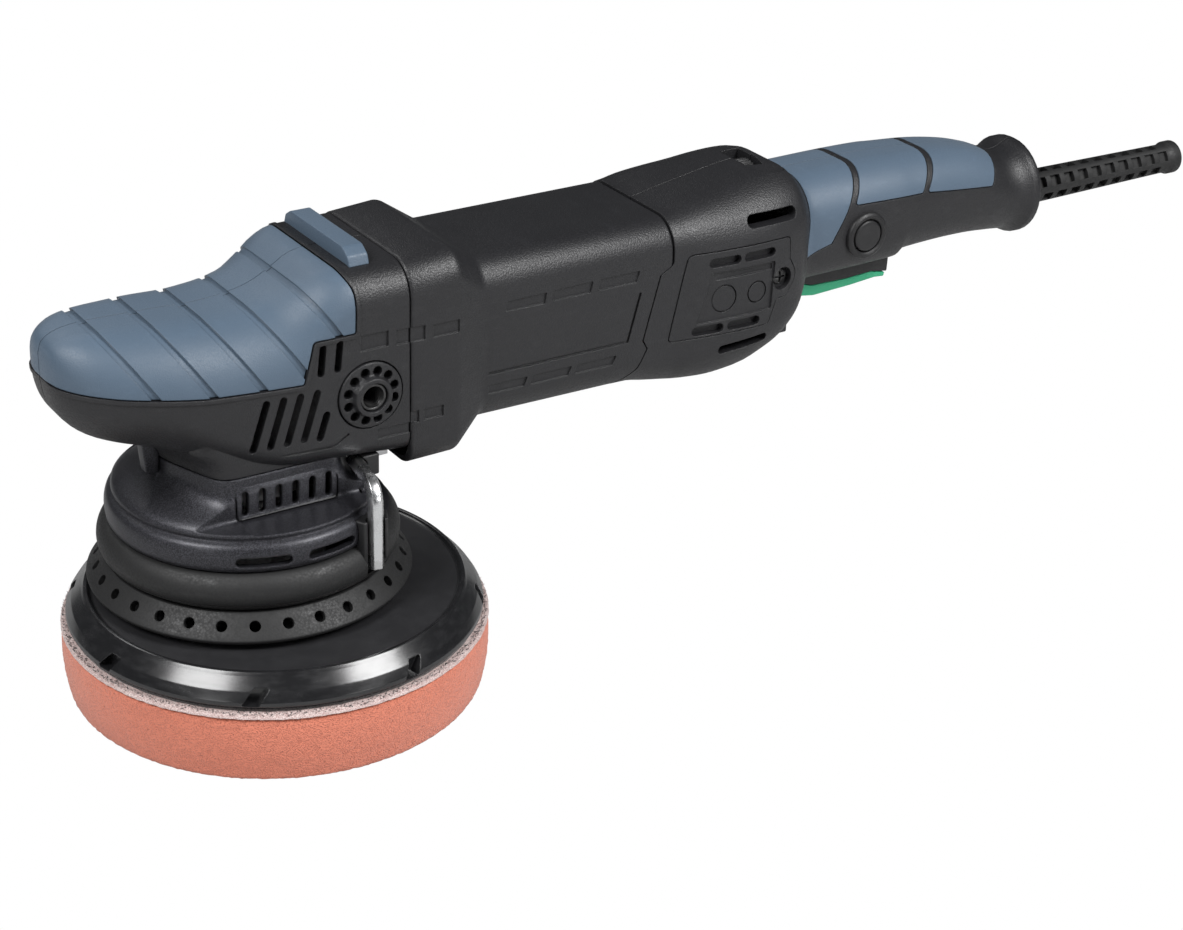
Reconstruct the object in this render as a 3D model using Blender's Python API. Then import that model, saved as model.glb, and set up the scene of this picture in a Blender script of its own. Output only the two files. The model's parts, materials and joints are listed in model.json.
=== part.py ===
"""Dual action polisher with a 150 mm pad, built as separate working pieces.

Lengths are in millimetres here and are turned into metres as each mesh is made.
The origin is on the drive axis at the pad's working face. +Z is up through the
head, +X runs back along the motor to the handle, and +Y is the user's right.
"""

import math

import bmesh
import bpy
from mathutils import Matrix, Vector

MM = 0.001
GAP = 0.3

# Drive line
ORBIT_OFFSET = 10.5
ORBIT_ANGLE = math.radians(-60)
PAD_X = ORBIT_OFFSET * math.cos(ORBIT_ANGLE)
PAD_Y = ORBIT_OFFSET * math.sin(ORBIT_ANGLE)
MOTOR_Z = 118.0
PINION_TEETH = 10
CROWN_TEETH = 30
CROWN_PITCH_RADIUS = 24.0
PINION_PITCH_RADIUS = CROWN_PITCH_RADIUS * PINION_TEETH / CROWN_TEETH
TOOTH_HALF_HEIGHT = 0.9
MESH_CLEARANCE = 1.1

# Pad and plate
PAD_RADIUS = 75.0
PAD_TOP = 24.6
LOOP_TOP = 26.6
HOOK_TOP = 27.7
PLATE_BOTTOM = 28.0
PLATE_DECK = 37.0
PLATE_LIP = 38.4
PLATE_RIM_RADIUS = 73.1
NOTCHES = 8

# Skirt, boot and vent ring round the drive axis
RING_BOTTOM = 39.6
RING_TOP = 48.5
BOOT_TOP = 62.0
SKIRT_BOTTOM = 62.3
SKIRT_TOP = 99.0
NECK_WIDTH = 30.5
NECK_FRONT = ((0.0, 1.0, 30.5), (-0.937, 0.349, 32.6), (-0.937, -0.349, 32.6))
NECK_REAR = (24.2, 7.0)
KEY_PLACE = (24.5, -47.6)
KEY_RADIUS = 2.9
KEY_BOTTOM = 54.2
KEY_ARM_Z = 84.7

# Housings
WALL = 2.4
GRIP_THICKNESS = 2.0
HEAD_REAR = 45.5
MOTOR_FRONT = 45.8
MOTOR_REAR = 155.7
HANDLE_FRONT = 156.0
HANDLE_REAR = 341.0
ARC_STEPS = 4
SEAT_MARGIN = 0.5
ALONG_X = (1, 0, 0)

COLOURS = {
    "black_plastic": ((0.016, 0.016, 0.018), 0.45, 0.0),
    "blue_rubber": ((0.085, 0.125, 0.170), 0.60, 0.0),
    "black_rubber": ((0.020, 0.020, 0.020), 0.75, 0.0),
    "skirt_metal": ((0.045, 0.045, 0.052), 0.35, 0.6),
    "cast_aluminium": ((0.42, 0.42, 0.43), 0.50, 1.0),
    "steel": ((0.55, 0.55, 0.56), 0.30, 1.0),
    "copper": ((0.60, 0.28, 0.14), 0.40, 1.0),
    "brass": ((0.70, 0.52, 0.22), 0.35, 1.0),
    "carbon": ((0.03, 0.03, 0.03), 0.80, 0.0),
    "plate_black": ((0.012, 0.012, 0.013), 0.20, 0.0),
    "hook_grey": ((0.05, 0.05, 0.05), 0.90, 0.0),
    "loop_white": ((0.80, 0.76, 0.74), 0.90, 0.0),
    "foam_orange": ((0.78, 0.25, 0.13), 0.95, 0.0),
    "trigger_green": ((0.03, 0.42, 0.20), 0.40, 0.0),
    "board_green": ((0.03, 0.16, 0.08), 0.50, 0.0),
}


# ---------------------------------------------------------------- helpers


def clear_scene():
    """Remove every object that a new file comes with."""
    for obj in list(bpy.data.objects):
        bpy.data.objects.remove(obj, do_unlink=True)


def material(name):
    """Return the shared material of this name, made on first use."""
    found = bpy.data.materials.get(name)
    if found:
        return found
    colour, roughness, metallic = COLOURS[name]
    made = bpy.data.materials.new(name)
    made.use_nodes = True
    shader = made.node_tree.nodes["Principled BSDF"]
    shader.inputs["Base Color"].default_value = (*colour, 1.0)
    shader.inputs["Roughness"].default_value = roughness
    shader.inputs["Metallic"].default_value = metallic
    made.diffuse_color = (*colour, 1.0)
    return made


def make_object(name, bm, mat):
    """Turn a bmesh in millimetres into an object in metres."""
    bmesh.ops.remove_doubles(bm, verts=bm.verts, dist=1e-4)
    bmesh.ops.recalc_face_normals(bm, faces=bm.faces)
    bmesh.ops.scale(bm, vec=(MM, MM, MM), verts=bm.verts)
    mesh = bpy.data.meshes.new(name)
    bm.to_mesh(mesh)
    bm.free()
    mesh.materials.append(material(mat))
    mesh.shade_smooth()
    mesh.set_sharp_from_angle(angle=math.radians(35))
    obj = bpy.data.objects.new(name, mesh)
    bpy.context.scene.collection.objects.link(obj)
    return obj


def discard(obj):
    """Delete a helper object."""
    bpy.data.objects.remove(obj, do_unlink=True)


def combine(obj, other, operation):
    """Apply one exact Boolean to obj and delete the other object."""
    modifier = obj.modifiers.new(operation.lower(), "BOOLEAN")
    modifier.operation = operation
    modifier.object = other
    modifier.solver = "EXACT"
    graph = bpy.context.evaluated_depsgraph_get()
    mesh = bpy.data.meshes.new_from_object(obj.evaluated_get(graph))
    obj.modifiers.clear()
    obj.data = mesh
    discard(other)
    return obj


def cut(obj, *cutters):
    """Cut each cutter away from obj."""
    for cutter in cutters:
        combine(obj, cutter, "DIFFERENCE")
    return obj


def join(obj, *others):
    """Unite the others with obj."""
    for other in others:
        combine(obj, other, "UNION")
    return obj


def keep(obj, region):
    """Keep only what lies inside the region."""
    return combine(obj, region, "INTERSECT")


def copy_of(obj, name):
    """Copy an object with a mesh of its own."""
    twin = obj.copy()
    twin.data = obj.data.copy()
    twin.name = name
    twin.data.name = name
    bpy.context.scene.collection.objects.link(twin)
    return twin


def turned(name, mat, profile, segments=28, centre=(0.0, 0.0)):
    """Spin an (r, z) outline about a vertical axis; a ring's outline is closed."""
    bm = bmesh.new()
    points = [bm.verts.new((centre[0] + r, centre[1], z)) for r, z in profile]
    edges = [bm.edges.new(pair) for pair in zip(points, points[1:])]
    if profile[0][0] > 0 or profile[-1][0] > 0:
        edges.append(bm.edges.new((points[-1], points[0])))
    bmesh.ops.spin(
        bm,
        geom=points + edges,
        cent=(centre[0], centre[1], 0.0),
        axis=(0.0, 0.0, 1.0),
        angle=2 * math.pi,
        steps=segments,
        use_merge=True,
    )
    return make_object(name, bm, mat)


def turned_along(name, mat, profile, base, axis, segments=20):
    """Spin an (r, distance) outline about a line through base along axis."""
    obj = turned(name, mat, profile, segments)
    turn = Vector((0, 0, 1)).rotation_difference(Vector(axis)).to_matrix().to_4x4()
    obj.data.transform(Matrix.Translation(Vector(base) * MM) @ turn)
    return obj


def rod(name, mat, radius, base, axis, length, segments=16):
    """A plain round bar."""
    outline = [(0, 0), (radius, 0), (radius, length), (0, length)]
    return turned_along(name, mat, outline, base, axis, segments)


def tube(name, mat, outer, inner, base, axis, length, segments=20):
    """A plain round tube."""
    outline = [(inner, 0), (outer, 0), (outer, length), (inner, length)]
    return turned_along(name, mat, outline, base, axis, segments)


def block(name, mat, low, high):
    """A box between two opposite corners."""
    bm = bmesh.new()
    bmesh.ops.create_cube(bm, size=1.0)
    size = [b - a for a, b in zip(low, high)]
    middle = [(a + b) / 2 for a, b in zip(low, high)]
    bmesh.ops.scale(bm, vec=size, verts=bm.verts)
    bmesh.ops.translate(bm, vec=middle, verts=bm.verts)
    return make_object(name, bm, mat)


def lofted(name, mat, rings):
    """Join rings of equal point count into one closed body with flat ends."""
    bm = bmesh.new()
    rows = [[bm.verts.new(point) for point in ring] for ring in rings]
    count = len(rows[0])
    for row, following in zip(rows, rows[1:]):
        for i in range(count):
            j = (i + 1) % count
            bm.faces.new((row[i], row[j], following[j], following[i]))
    bm.faces.new(rows[0])
    bm.faces.new(rows[-1])
    return make_object(name, bm, mat)


def extruded(name, mat, outline, low, high, plane="xz"):
    """Push an outline in the XZ or XY plane along the axis that it leaves free."""
    if plane == "xz":
        rings = [[(a, level, b) for a, b in outline] for level in (low, high)]
    else:
        rings = [[(a, b, level) for a, b in outline] for level in (low, high)]
    return lofted(name, mat, rings)


def stadium(centre, length, width, angle, steps=4):
    """Outline of a slot with round ends, as (a, b) points."""
    points = []
    half = (length - width) / 2
    for side in (1, -1):
        for i in range(steps + 1):
            turn = math.radians(-90 + 180 * i / steps) + (0 if side > 0 else math.pi)
            points.append((side * half + width / 2 * math.cos(turn), width / 2 * math.sin(turn)))
    cos, sin = math.cos(math.radians(angle)), math.sin(math.radians(angle))
    return [(centre[0] + a * cos - b * sin, centre[1] + a * sin + b * cos) for a, b in points]


def section(x, half_width, top, bottom, top_radius, bottom_radius):
    """Rounded rectangle in the plane at x, with its own top and bottom radii."""
    points = []
    corners = ((1, 1, 0), (-1, 1, 90), (-1, -1, 180), (1, -1, 270))
    for side, upper, start in corners:
        radius = top_radius if upper > 0 else bottom_radius
        y = side * (half_width - radius)
        z = top - radius if upper > 0 else bottom + radius
        for i in range(ARC_STEPS + 1):
            turn = math.radians(start + 90 * i / ARC_STEPS)
            points.append((x, y + radius * math.cos(turn), z + radius * math.sin(turn)))
    return points


def inset(stations, amount, nose=None):
    """Shrink every station by amount; nose gives (tip x, where rounding ends)."""
    shrunk = []
    for x, width, top, bottom, top_radius, bottom_radius in stations:
        middle = (top + bottom) / 2
        half = max((top - bottom) / 2 - amount, 2.0)
        width = max(width - amount, 2.0)
        if nose:
            tip, end = nose
            x += amount * min(max((end - x) / (end - tip), 0.0), 1.0) ** 3
        limit = min(width, half) * 0.98
        radii = [min(max(r - amount, 0.8), limit) for r in (top_radius, bottom_radius)]
        shrunk.append((x, width, middle + half, middle - half, *radii))
    return shrunk


def casing(name, mat, stations):
    """Loft a solid through a list of stations."""
    return lofted(name, mat, [section(*station) for station in stations])


def stretched(stations, front, rear):
    """Move the first and last stations outwards so that a cutter runs past an end."""
    first = (stations[0][0] - front, *stations[0][1:])
    last = (stations[-1][0] + rear, *stations[-1][1:])
    return [first, *stations[1:-1], last]


def side_region(outline, side, start=0.15, end=80.0):
    """A block with the given XZ outline that covers one side of the centre plane."""
    low, high = sorted((side * start, side * end))
    return extruded("region", "black_plastic", outline, low, high)


def halves(solid, name):
    """Split a closed shell at the centre plane into left (-Y) and right (+Y) pieces."""
    pieces = []
    for suffix, side in (("left", -1), ("right", 1)):
        half = copy_of(solid, f"{name}_{suffix}")
        low, high = sorted((side * GAP / 2, side * 90.0))
        keep(half, block("half", "black_plastic", (-150, low, -50), (500, high, 300)))
        pieces.append(half)
    discard(solid)
    return pieces


def skin(name, mat, stations, outline, side, thickness, nose=None):
    """An overmoulded pad: the casing's outer layer inside an XZ outline, on one side."""
    layer = casing(name, mat, stations)
    cut(layer, casing("core", mat, stretched(inset(stations, thickness, nose), 0 if nose else 5, 5)))
    return keep(layer, side_region(outline, side))


def recess(stations, outline, depth, nose=None):
    """Cutter for the seat under an overmoulded pad, on both sides."""
    layer = casing("seat", "black_plastic", inset(stations, -1.0, nose))
    cut(layer, casing("core", "black_plastic", stretched(inset(stations, depth, nose), 0 if nose else 5, 5)))
    low, high = -80.0, 80.0
    return keep(layer, extruded("region", "black_plastic", outline, low, high))


def grown(outline, amount):
    """Move every edge of a flat outline outwards by an amount."""
    following = outline[1:] + outline[:1]
    area = sum(a[0] * b[1] - b[0] * a[1] for a, b in zip(outline, following))
    sign = math.copysign(1.0, area)
    moved = []
    for i, point in enumerate(outline):
        here = Vector(point)
        edges = (here - Vector(outline[i - 1]), Vector(following[i]) - here)
        normals = [Vector((edge.y, -edge.x)).normalized() * sign for edge in edges]
        middle = (normals[0] + normals[1]).normalized()
        moved.append(tuple(here + middle * amount / middle.dot(normals[0])))
    return moved


def on_pivot(name, place, pieces, parent=None):
    """Parent pieces to an empty at the joint, moving their origins onto it."""
    pivot = bpy.data.objects.new(name, None)
    bpy.context.scene.collection.objects.link(pivot)
    world = Vector(place) * MM
    pivot.location = world - (parent.matrix_world.translation if parent else Vector((0, 0, 0)))
    pivot.parent = parent
    bpy.context.view_layer.update()
    for piece in pieces:
        piece.data.transform(Matrix.Translation(-world))
        piece.parent = pivot
        piece.location = (0.0, 0.0, 0.0)
    return pivot


# ---------------------------------------------------------------- pad and plate


def pad_stack():
    """Foam pad, loop layer, hook layer, backing plate, hub, spindle and bolt."""
    centre = (PAD_X, PAD_Y)
    foam = turned(
        "foam_pad",
        "foam_orange",
        [(0, 0), (72.6, 0), (73.4, 1.0), (74.0, 12.0), (PAD_RADIUS, PAD_TOP), (0, PAD_TOP)],
        40,
        centre,
    )
    loop = turned(
        "loop_layer",
        "loop_white",
        [(0, PAD_TOP + GAP), (PAD_RADIUS, PAD_TOP + GAP), (PAD_RADIUS - 0.4, LOOP_TOP), (0, LOOP_TOP)],
        40,
        centre,
    )
    hook = turned(
        "hook_layer",
        "hook_grey",
        [(0, LOOP_TOP + GAP), (72.0, LOOP_TOP + GAP), (72.0, HOOK_TOP), (0, HOOK_TOP)],
        40,
        centre,
    )
    plate = turned(
        "backing_plate",
        "plate_black",
        [
            (12.3, PLATE_BOTTOM),
            (72.3, PLATE_BOTTOM),
            (PLATE_RIM_RADIUS, 28.8),
            (PLATE_RIM_RADIUS - 0.5, 30.2),
            (66.8, 37.2),
            (65.6, PLATE_LIP),
            (64.2, PLATE_LIP),
            (63.6, PLATE_DECK),
            (24.0, PLATE_DECK),
            (12.3, PLATE_DECK),
        ],
        40,
        centre,
    )
    for i in range(NOTCHES):
        turn = math.radians(17 + 360 * i / NOTCHES)
        notch = block("notch", "plate_black", (70.0, -1.6, 29.8), (76.0, 1.6, 36.5))
        place = Matrix.Translation(Vector((PAD_X, PAD_Y, 0)) * MM)
        notch.data.transform(place @ Matrix.Rotation(turn, 4, "Z"))
        cut(plate, notch)
    hub = turned(
        "plate_hub",
        "cast_aluminium",
        [(6.3, 32.6), (12.0, 32.6), (12.0, 37.3), (22.0, 37.3), (22.0, 39.2), (13.0, 41.0), (6.3, 41.0)],
        24,
        centre,
    )
    spindle = turned(
        "plate_spindle",
        "steel",
        [(3.3, 32.6), (6.0, 32.6), (6.0, 42.5), (8.0, 42.5), (8.0, 44.6), (6.0, 44.6), (6.0, 54.0),
         (3.3, 54.0)],
        24,
        centre,
    )
    bolt = turned(
        "plate_bolt",
        "steel",
        [(0, 28.4), (9.0, 28.4), (9.0, 32.3), (3.0, 32.3), (3.0, 52.0), (0, 52.0)],
        24,
        centre,
    )
    return [foam, loop, hook, plate, hub, spindle, bolt]


# ---------------------------------------------------------------- drive line


def crown_point(index, radius):
    """One corner of the crown gear's toothed face: tips and roots by turns."""
    turn = math.pi * index / CROWN_TEETH + math.pi / CROWN_TEETH
    scale = radius / CROWN_PITCH_RADIUS
    lift = TOOTH_HALF_HEIGHT * scale * (1 if index % 2 == 0 else -1)
    height = MOTOR_Z - MESH_CLEARANCE - PINION_PITCH_RADIUS * scale + lift
    return radius * math.cos(turn), radius * math.sin(turn), height


def crown_gear():
    """Bevel crown wheel with its teeth on top."""
    outer, inner, bore = CROWN_PITCH_RADIUS + 1.0, CROWN_PITCH_RADIUS * 0.72, 6.3
    base, hub_top = 103.0, 107.0

    def flat_ring(radius, height):
        places = [crown_point(i, radius) for i in range(2 * CROWN_TEETH)]
        return [(x, y, height) for x, y, _ in places]

    def toothed_ring(radius):
        return [crown_point(i, radius) for i in range(2 * CROWN_TEETH)]

    rings = [
        flat_ring(bore, base),
        flat_ring(outer - 2.0, base),
        toothed_ring(outer),
        toothed_ring(inner),
        flat_ring(bore, hub_top),
    ]
    bm = bmesh.new()
    rows = [[bm.verts.new(point) for point in ring] for ring in rings]
    for row, following in zip(rows, rows[1:] + rows[:1]):
        for i in range(len(row)):
            j = (i + 1) % len(row)
            bm.faces.new((row[i], row[j], following[j], following[i]))
    return make_object("crown_gear", bm, "steel")


def bevel_pinion():
    """Small bevel gear on the front of the armature shaft."""

    def ring(x, radius, lift):
        points = []
        for i in range(PINION_TEETH):
            for phase, sign in ((-0.24, -1), (-0.12, 1), (0.12, 1), (0.24, -1)):
                turn = 2 * math.pi * (i + phase) / PINION_TEETH - math.pi / 2
                reach = radius + sign * lift
                points.append((x, reach * math.cos(turn), MOTOR_Z + reach * math.sin(turn)))
        return points

    small = 0.72
    rings = [
        ring(CROWN_PITCH_RADIUS * small, PINION_PITCH_RADIUS * small, TOOTH_HALF_HEIGHT * small),
        ring(CROWN_PITCH_RADIUS + 0.6, PINION_PITCH_RADIUS, TOOTH_HALF_HEIGHT),
        ring(CROWN_PITCH_RADIUS + 4.0, PINION_PITCH_RADIUS - 1.5, 0.3),
    ]
    pinion = lofted("bevel_pinion", "steel", rings)
    return cut(pinion, rod("bore", "steel", 4.3, (10, 0, MOTOR_Z), (1, 0, 0), 25))


def drive_line():
    """Spindle, crown gear, eccentric hub and its bearing, which turn together."""
    spindle = turned(
        "output_spindle",
        "steel",
        [(0, 60.6), (9.0, 60.6), (9.0, 75.5), (8.0, 75.5), (8.0, 88.0), (10.0, 88.0), (10.0, 102.7),
         (6.0, 102.7), (6.0, 126.0), (0, 126.0)],
        24,
    )
    hub = turned("eccentric_hub", "cast_aluminium", [(0, 50.0), (20.0, 50.0), (20.0, 60.3), (0, 60.3)], 24)
    centre = (PAD_X, PAD_Y)
    cup = turned("cup", "cast_aluminium", [(0, 45.4), (17.5, 45.4), (17.5, 59.0), (0, 59.0)], 24, centre)
    away = ORBIT_ANGLE + math.pi
    reach = [away + math.radians(-70 + 14 * i) for i in range(11)]
    sector = [(41 * math.cos(a), 41 * math.sin(a)) for a in reach]
    sector += [(12 * math.cos(a), 12 * math.sin(a)) for a in reversed(reach)]
    weight = extruded("weight", "cast_aluminium", sector, 50.6, 59.6, "xy")
    join(hub, cup, weight)
    cut(hub, turned("seat", "cast_aluminium", [(0, 40), (14.0, 40), (14.0, 54.6), (0, 54.6)], 24, centre))
    section = [(6.3, 46.0), (13.7, 46.0), (13.7, 54.2), (6.3, 54.2)]
    bearing = turned("eccentric_bearing", "steel", section, 24, centre)
    return [spindle, crown_gear(), hub, bearing]


def armature():
    """Everything that turns with the motor shaft."""
    shaft = turned_along(
        "armature_shaft",
        "steel",
        [(0, 15.0), (4.0, 15.0), (4.0, 56.0), (5.0, 56.0), (5.0, 197.0), (0, 197.0)],
        (0, 0, MOTOR_Z),
        ALONG_X,
        20,
    )
    core = tube("armature_core", "steel", 16.5, 5.3, (98, 0, MOTOR_Z), ALONG_X, 46, 24)
    commutator = turned_along(
        "commutator",
        "copper",
        [(5.3, 162.0), (10.5, 162.0), (10.5, 163.5), (9.5, 164.5), (9.5, 178.0), (5.3, 178.0)],
        (0, 0, MOTOR_Z),
        ALONG_X,
        24,
    )
    fan = turned_along(
        "cooling_fan",
        "black_plastic",
        [(5.3, 82.0), (23.0, 82.0), (23.0, 83.6), (12.0, 83.6), (9.0, 92.0), (5.3, 92.0)],
        (0, 0, MOTOR_Z),
        ALONG_X,
        24,
    )
    for i in range(12):
        turn = 2 * math.pi * i / 12
        blade = block("blade", "black_plastic", (83.2, -0.6, 9.5), (91.0, 0.6, 22.6))
        blade.data.transform(Matrix.Translation((0, 0, MOTOR_Z * MM)) @ Matrix.Rotation(turn, 4, "X"))
        join(fan, blade)
    return [shaft, core, commutator, fan, bevel_pinion()]


def fixed_motor_parts():
    """Stator, bearings, brushes and their holders."""
    stator = tube("stator", "copper", 26.4, 17.2, (94, 0, MOTOR_Z), ALONG_X, 54, 28)
    front = tube("front_bearing", "steel", 13.0, 5.3, (61, 0, MOTOR_Z), ALONG_X, 9, 20)
    rear = tube("rear_bearing", "steel", 9.5, 5.3, (186, 0, MOTOR_Z), ALONG_X, 7, 20)
    pieces = [stator, front, rear]
    for suffix, side in (("left", -1), ("right", 1)):
        inner, outer = sorted((side * 11.0, side * 24.0))
        holder = block(f"brush_holder_{suffix}", "brass", (164.5, inner, 111), (176.5, outer, 123))
        run = sorted((side * 5.0, side * 30.0))
        cut(holder, block("run", "brass", (166.7, run[0], 112.7), (174.3, run[1], 121.3)))
        ends = sorted((side * 9.9, side * 22.5))
        brush = block(f"carbon_brush_{suffix}", "carbon", (167.0, ends[0], 113), (174.0, ends[1], 121))
        pieces += [holder, brush]
    return pieces


def gearbox():
    """Cast gear case: an upright cup for the spindle and a barrel for the pinion."""
    case = turned(
        "gearbox_housing",
        "cast_aluminium",
        [(0, 75.0), (21.0, 75.0), (21.0, 99.8), (28.0, 99.8), (28.0, 122.0), (19.0, 131.0), (0, 131.0)],
        28,
    )
    join(
        case,
        block("barrel", "cast_aluminium", (10, -21, 99.8), (59.6, 21, 134.5)),
        block("foot", "cast_aluminium", (31.4, -23, 82.6), (42.5, 23, 101)),
        rod("nose", "cast_aluminium", 16.5, (50, 0, MOTOR_Z), ALONG_X, 24, 24),
    )
    cut(
        case,
        turned("lower_seat", "steel", [(0, 70), (17.3, 70), (17.3, 86.2), (0, 86.2)], 24),
        turned("way", "steel", [(0, 80), (10.8, 80), (10.8, 103), (0, 103)], 24),
        turned("gear_room", "steel", [(0, 102.2), (25.9, 102.2), (25.9, 120), (0, 120)], 28),
        turned("upper_seat", "steel", [(0, 118.6), (11.3, 118.6), (11.3, 127.8), (0, 127.8)], 24),
        rod("pinion_way", "steel", 10.5, (12, 0, MOTOR_Z), ALONG_X, 46, 24),
        rod("bearing_seat", "steel", 13.3, (57, 0, MOTOR_Z), ALONG_X, 25, 24),
    )
    section = [(8.3, 76.5), (17.0, 76.5), (17.0, 85.8), (8.3, 85.8)]
    lower = turned("spindle_lower_bearing", "steel", section, 24)
    section = [(6.3, 119.4), (11.0, 119.4), (11.0, 127.4), (6.3, 127.4)]
    upper = turned("spindle_upper_bearing", "steel", section, 20)
    return [case, lower, upper]


# ---------------------------------------------------------------- skirt, boot, vent ring


def neck_ring(z, round_radius, blend, shrink=0.0, count=28):
    """Plan outline that changes from a circle (blend 0) to the neck (blend 1)."""
    points = []
    for i in range(count):
        turn = 2 * math.pi * i / count
        cos, sin = abs(math.cos(turn)), abs(math.sin(turn))
        if math.cos(turn) > 0:
            length, power = NECK_REAR
            oval = ((cos / length) ** power + (sin / NECK_WIDTH) ** power) ** (-1 / power)
        else:
            facing = [max(-cos * x + sin * y, 0.0) / distance for x, y, distance in NECK_FRONT]
            oval = sum(share**14 for share in facing) ** (-1 / 14)
        radius = round_radius * (1 - blend) + oval * blend - shrink
        points.append((radius * math.cos(turn), radius * math.sin(turn), z))
    return points


SKIRT_SHAPE = (
    (62.3, 47.6, 0.0),
    (64.0, 49.0, 0.0),
    (68.0, 49.4, 0.0),
    (71.8, 48.4, 0.0),
    (73.4, 46.4, 0.0),
    (75.0, 46.8, 0.0),
    (77.4, 45.4, 0.05),
    (79.5, 42.8, 0.2),
    (82.0, 40.0, 0.5),
    (85.0, 37.5, 0.85),
    (88.0, 36.0, 1.0),
    (SKIRT_TOP, 36.0, 1.0),
)


def skirt_parts():
    """Skirt with its neck, rubber boot and perforated vent ring."""
    skirt = lofted("skirt", "skirt_metal", [neck_ring(*station) for station in SKIRT_SHAPE])
    inner = [(z - 1.0, radius, blend) for z, radius, blend in SKIRT_SHAPE[2:-1:2]]
    inner = [(SKIRT_BOTTOM - 2.0, 48.6, 0.0), *inner, (SKIRT_TOP - 9.0, 36.0, 1.0)]
    cut(skirt, lofted("room", "skirt_metal", [neck_ring(*station, shrink=WALL) for station in inner]))
    cut(skirt, turned("spigot_way", "skirt_metal", [(0, 80), (21.4, 80), (21.4, 110), (0, 110)], 36))
    outline = [(-39.6, 97.0), (-38.4, 84.0), (-34.0, 82.0), (-34.0, 97.0)]
    lug = extruded("lug", "skirt_metal", outline, -2.2, 2.2)
    join(skirt, lug)
    cut(skirt, key_groove())
    for side in (-1, 1):
        for i in range(6):
            x = -17.2 + 6.3 * i
            ends = sorted((side * 20.0, side * 40.0))
            cut(skirt, block("slot", "skirt_metal", (x - 1.4, ends[0], 77.9), (x + 1.4, ends[1], 86.5)))
    boot = turned(
        "rubber_boot",
        "black_rubber",
        [(47.0, 48.8), (51.0, 48.8), (52.4, 52.0), (52.7, 55.0), (52.1, 58.4), (50.2, 61.2), (48.0, BOOT_TOP),
         (44.8, BOOT_TOP), (48.6, 56.0)],
        40,
    )
    cut(boot, key_groove())
    ring = turned(
        "vent_ring",
        "black_rubber",
        [(53.4, RING_BOTTOM), (56.6, RING_BOTTOM), (56.7, 41.2), (50.8, RING_TOP), (47.8, RING_TOP),
         (53.4, 41.4)],
        40,
    )
    return [skirt, boot, ring]


def key_groove():
    """Room beside the key's long arm, cut into the skirt and the boot."""
    return rod("groove", "steel", KEY_RADIUS + GAP, (*KEY_PLACE, KEY_BOTTOM - GAP), (0, 0, 1), 40, 18)


def hex_key():
    """Bent hexagon key carried behind the neck, and the clip that holds it."""
    bend = 6.0
    start = Vector((*KEY_PLACE, KEY_BOTTOM))
    along = Vector((3.5, 21.0, 0.0)).normalized()
    corner = Vector((*KEY_PLACE, KEY_ARM_Z))
    path = [start, corner - Vector((0, 0, bend))]
    for i in range(1, 6):
        turn = math.radians(90 * i / 6)
        drop = Vector((0, 0, bend * (1 - math.sin(turn))))
        path.append(corner + along * bend * (1 - math.cos(turn)) - drop)
    path += [corner + along * bend, corner + along * 24.0]
    side = along.cross(Vector((0, 0, 1)))
    rings = []
    for i, point in enumerate(path):
        ahead = (path[min(i + 1, len(path) - 1)] - path[max(i - 1, 0)]).normalized()
        other = ahead.cross(side)
        corners = [math.radians(60 * k) for k in range(6)]
        rings.append([point + KEY_RADIUS * (side * math.cos(a) + other * math.sin(a)) for a in corners])
    key = lofted("hex_key", "steel", rings)
    clip = block("hex_key_clip", "black_plastic", (28.6, -31.2, 79.8), (34.0, -24.2, 87.2))
    around = [neck_ring(z + 0.4, radius, blend, -0.4) for z, radius, blend in SKIRT_SHAPE]
    cut(clip, lofted("skirt_way", "black_plastic", around))
    way = rod("key_way", "black_plastic", KEY_RADIUS + GAP, tuple(corner), tuple(along), 60, 18)
    return [key, cut(clip, way)]


# ---------------------------------------------------------------- head

HEAD_TIP = -72.0
HEAD_ROUND_END = -33.0
HEAD_STATIONS = [
    (HEAD_TIP, 5.0, 136.4, 127.0, 3.6, 3.6),
    (-70.8, 10.8, 140.0, 120.0, 7.6, 8.0),
    (-67.4, 16.8, 142.4, 113.6, 12.0, 12.0),
    (-61.5, 22.4, 143.8, 108.6, 15.5, 15.5),
    (-53.5, 26.8, 144.2, 105.2, 18.5, 18.0),
    (-44.0, 29.6, 144.0, 102.2, 20.5, 19.5),
    (HEAD_ROUND_END, 31.5, 143.8, 99.2, 22.0, 17.0),
    (-20.0, 32.6, 143.2, 94.4, 22.5, 13.0),
    (-9.0, 33.1, 143.8, 91.2, 22.5, 10.0),
    (1.0, 33.4, 145.6, 89.6, 22.0, 8.0),
    (10.0, 33.5, 149.8, 89.2, 19.0, 7.0),
    (18.0, 33.6, 154.2, 88.8, 15.5, 7.0),
    (24.0, 33.6, 155.2, 88.4, 13.0, 7.0),
    (HEAD_REAR, 33.7, 155.0, 86.5, 11.5, 7.0),
]
HEAD_NOSE = (HEAD_TIP, HEAD_ROUND_END)
GRIP_OUTLINE = [
    (-90.0, 129.5),
    (-60.0, 127.0),
    (-30.0, 123.0),
    (5.8, 121.0),
    (9.8, 135.4),
    (25.0, 135.6),
    (25.4, 150.0),
    (22.0, 157.0),
    (14.0, 175.0),
    (-90.0, 175.0),
]


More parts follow.
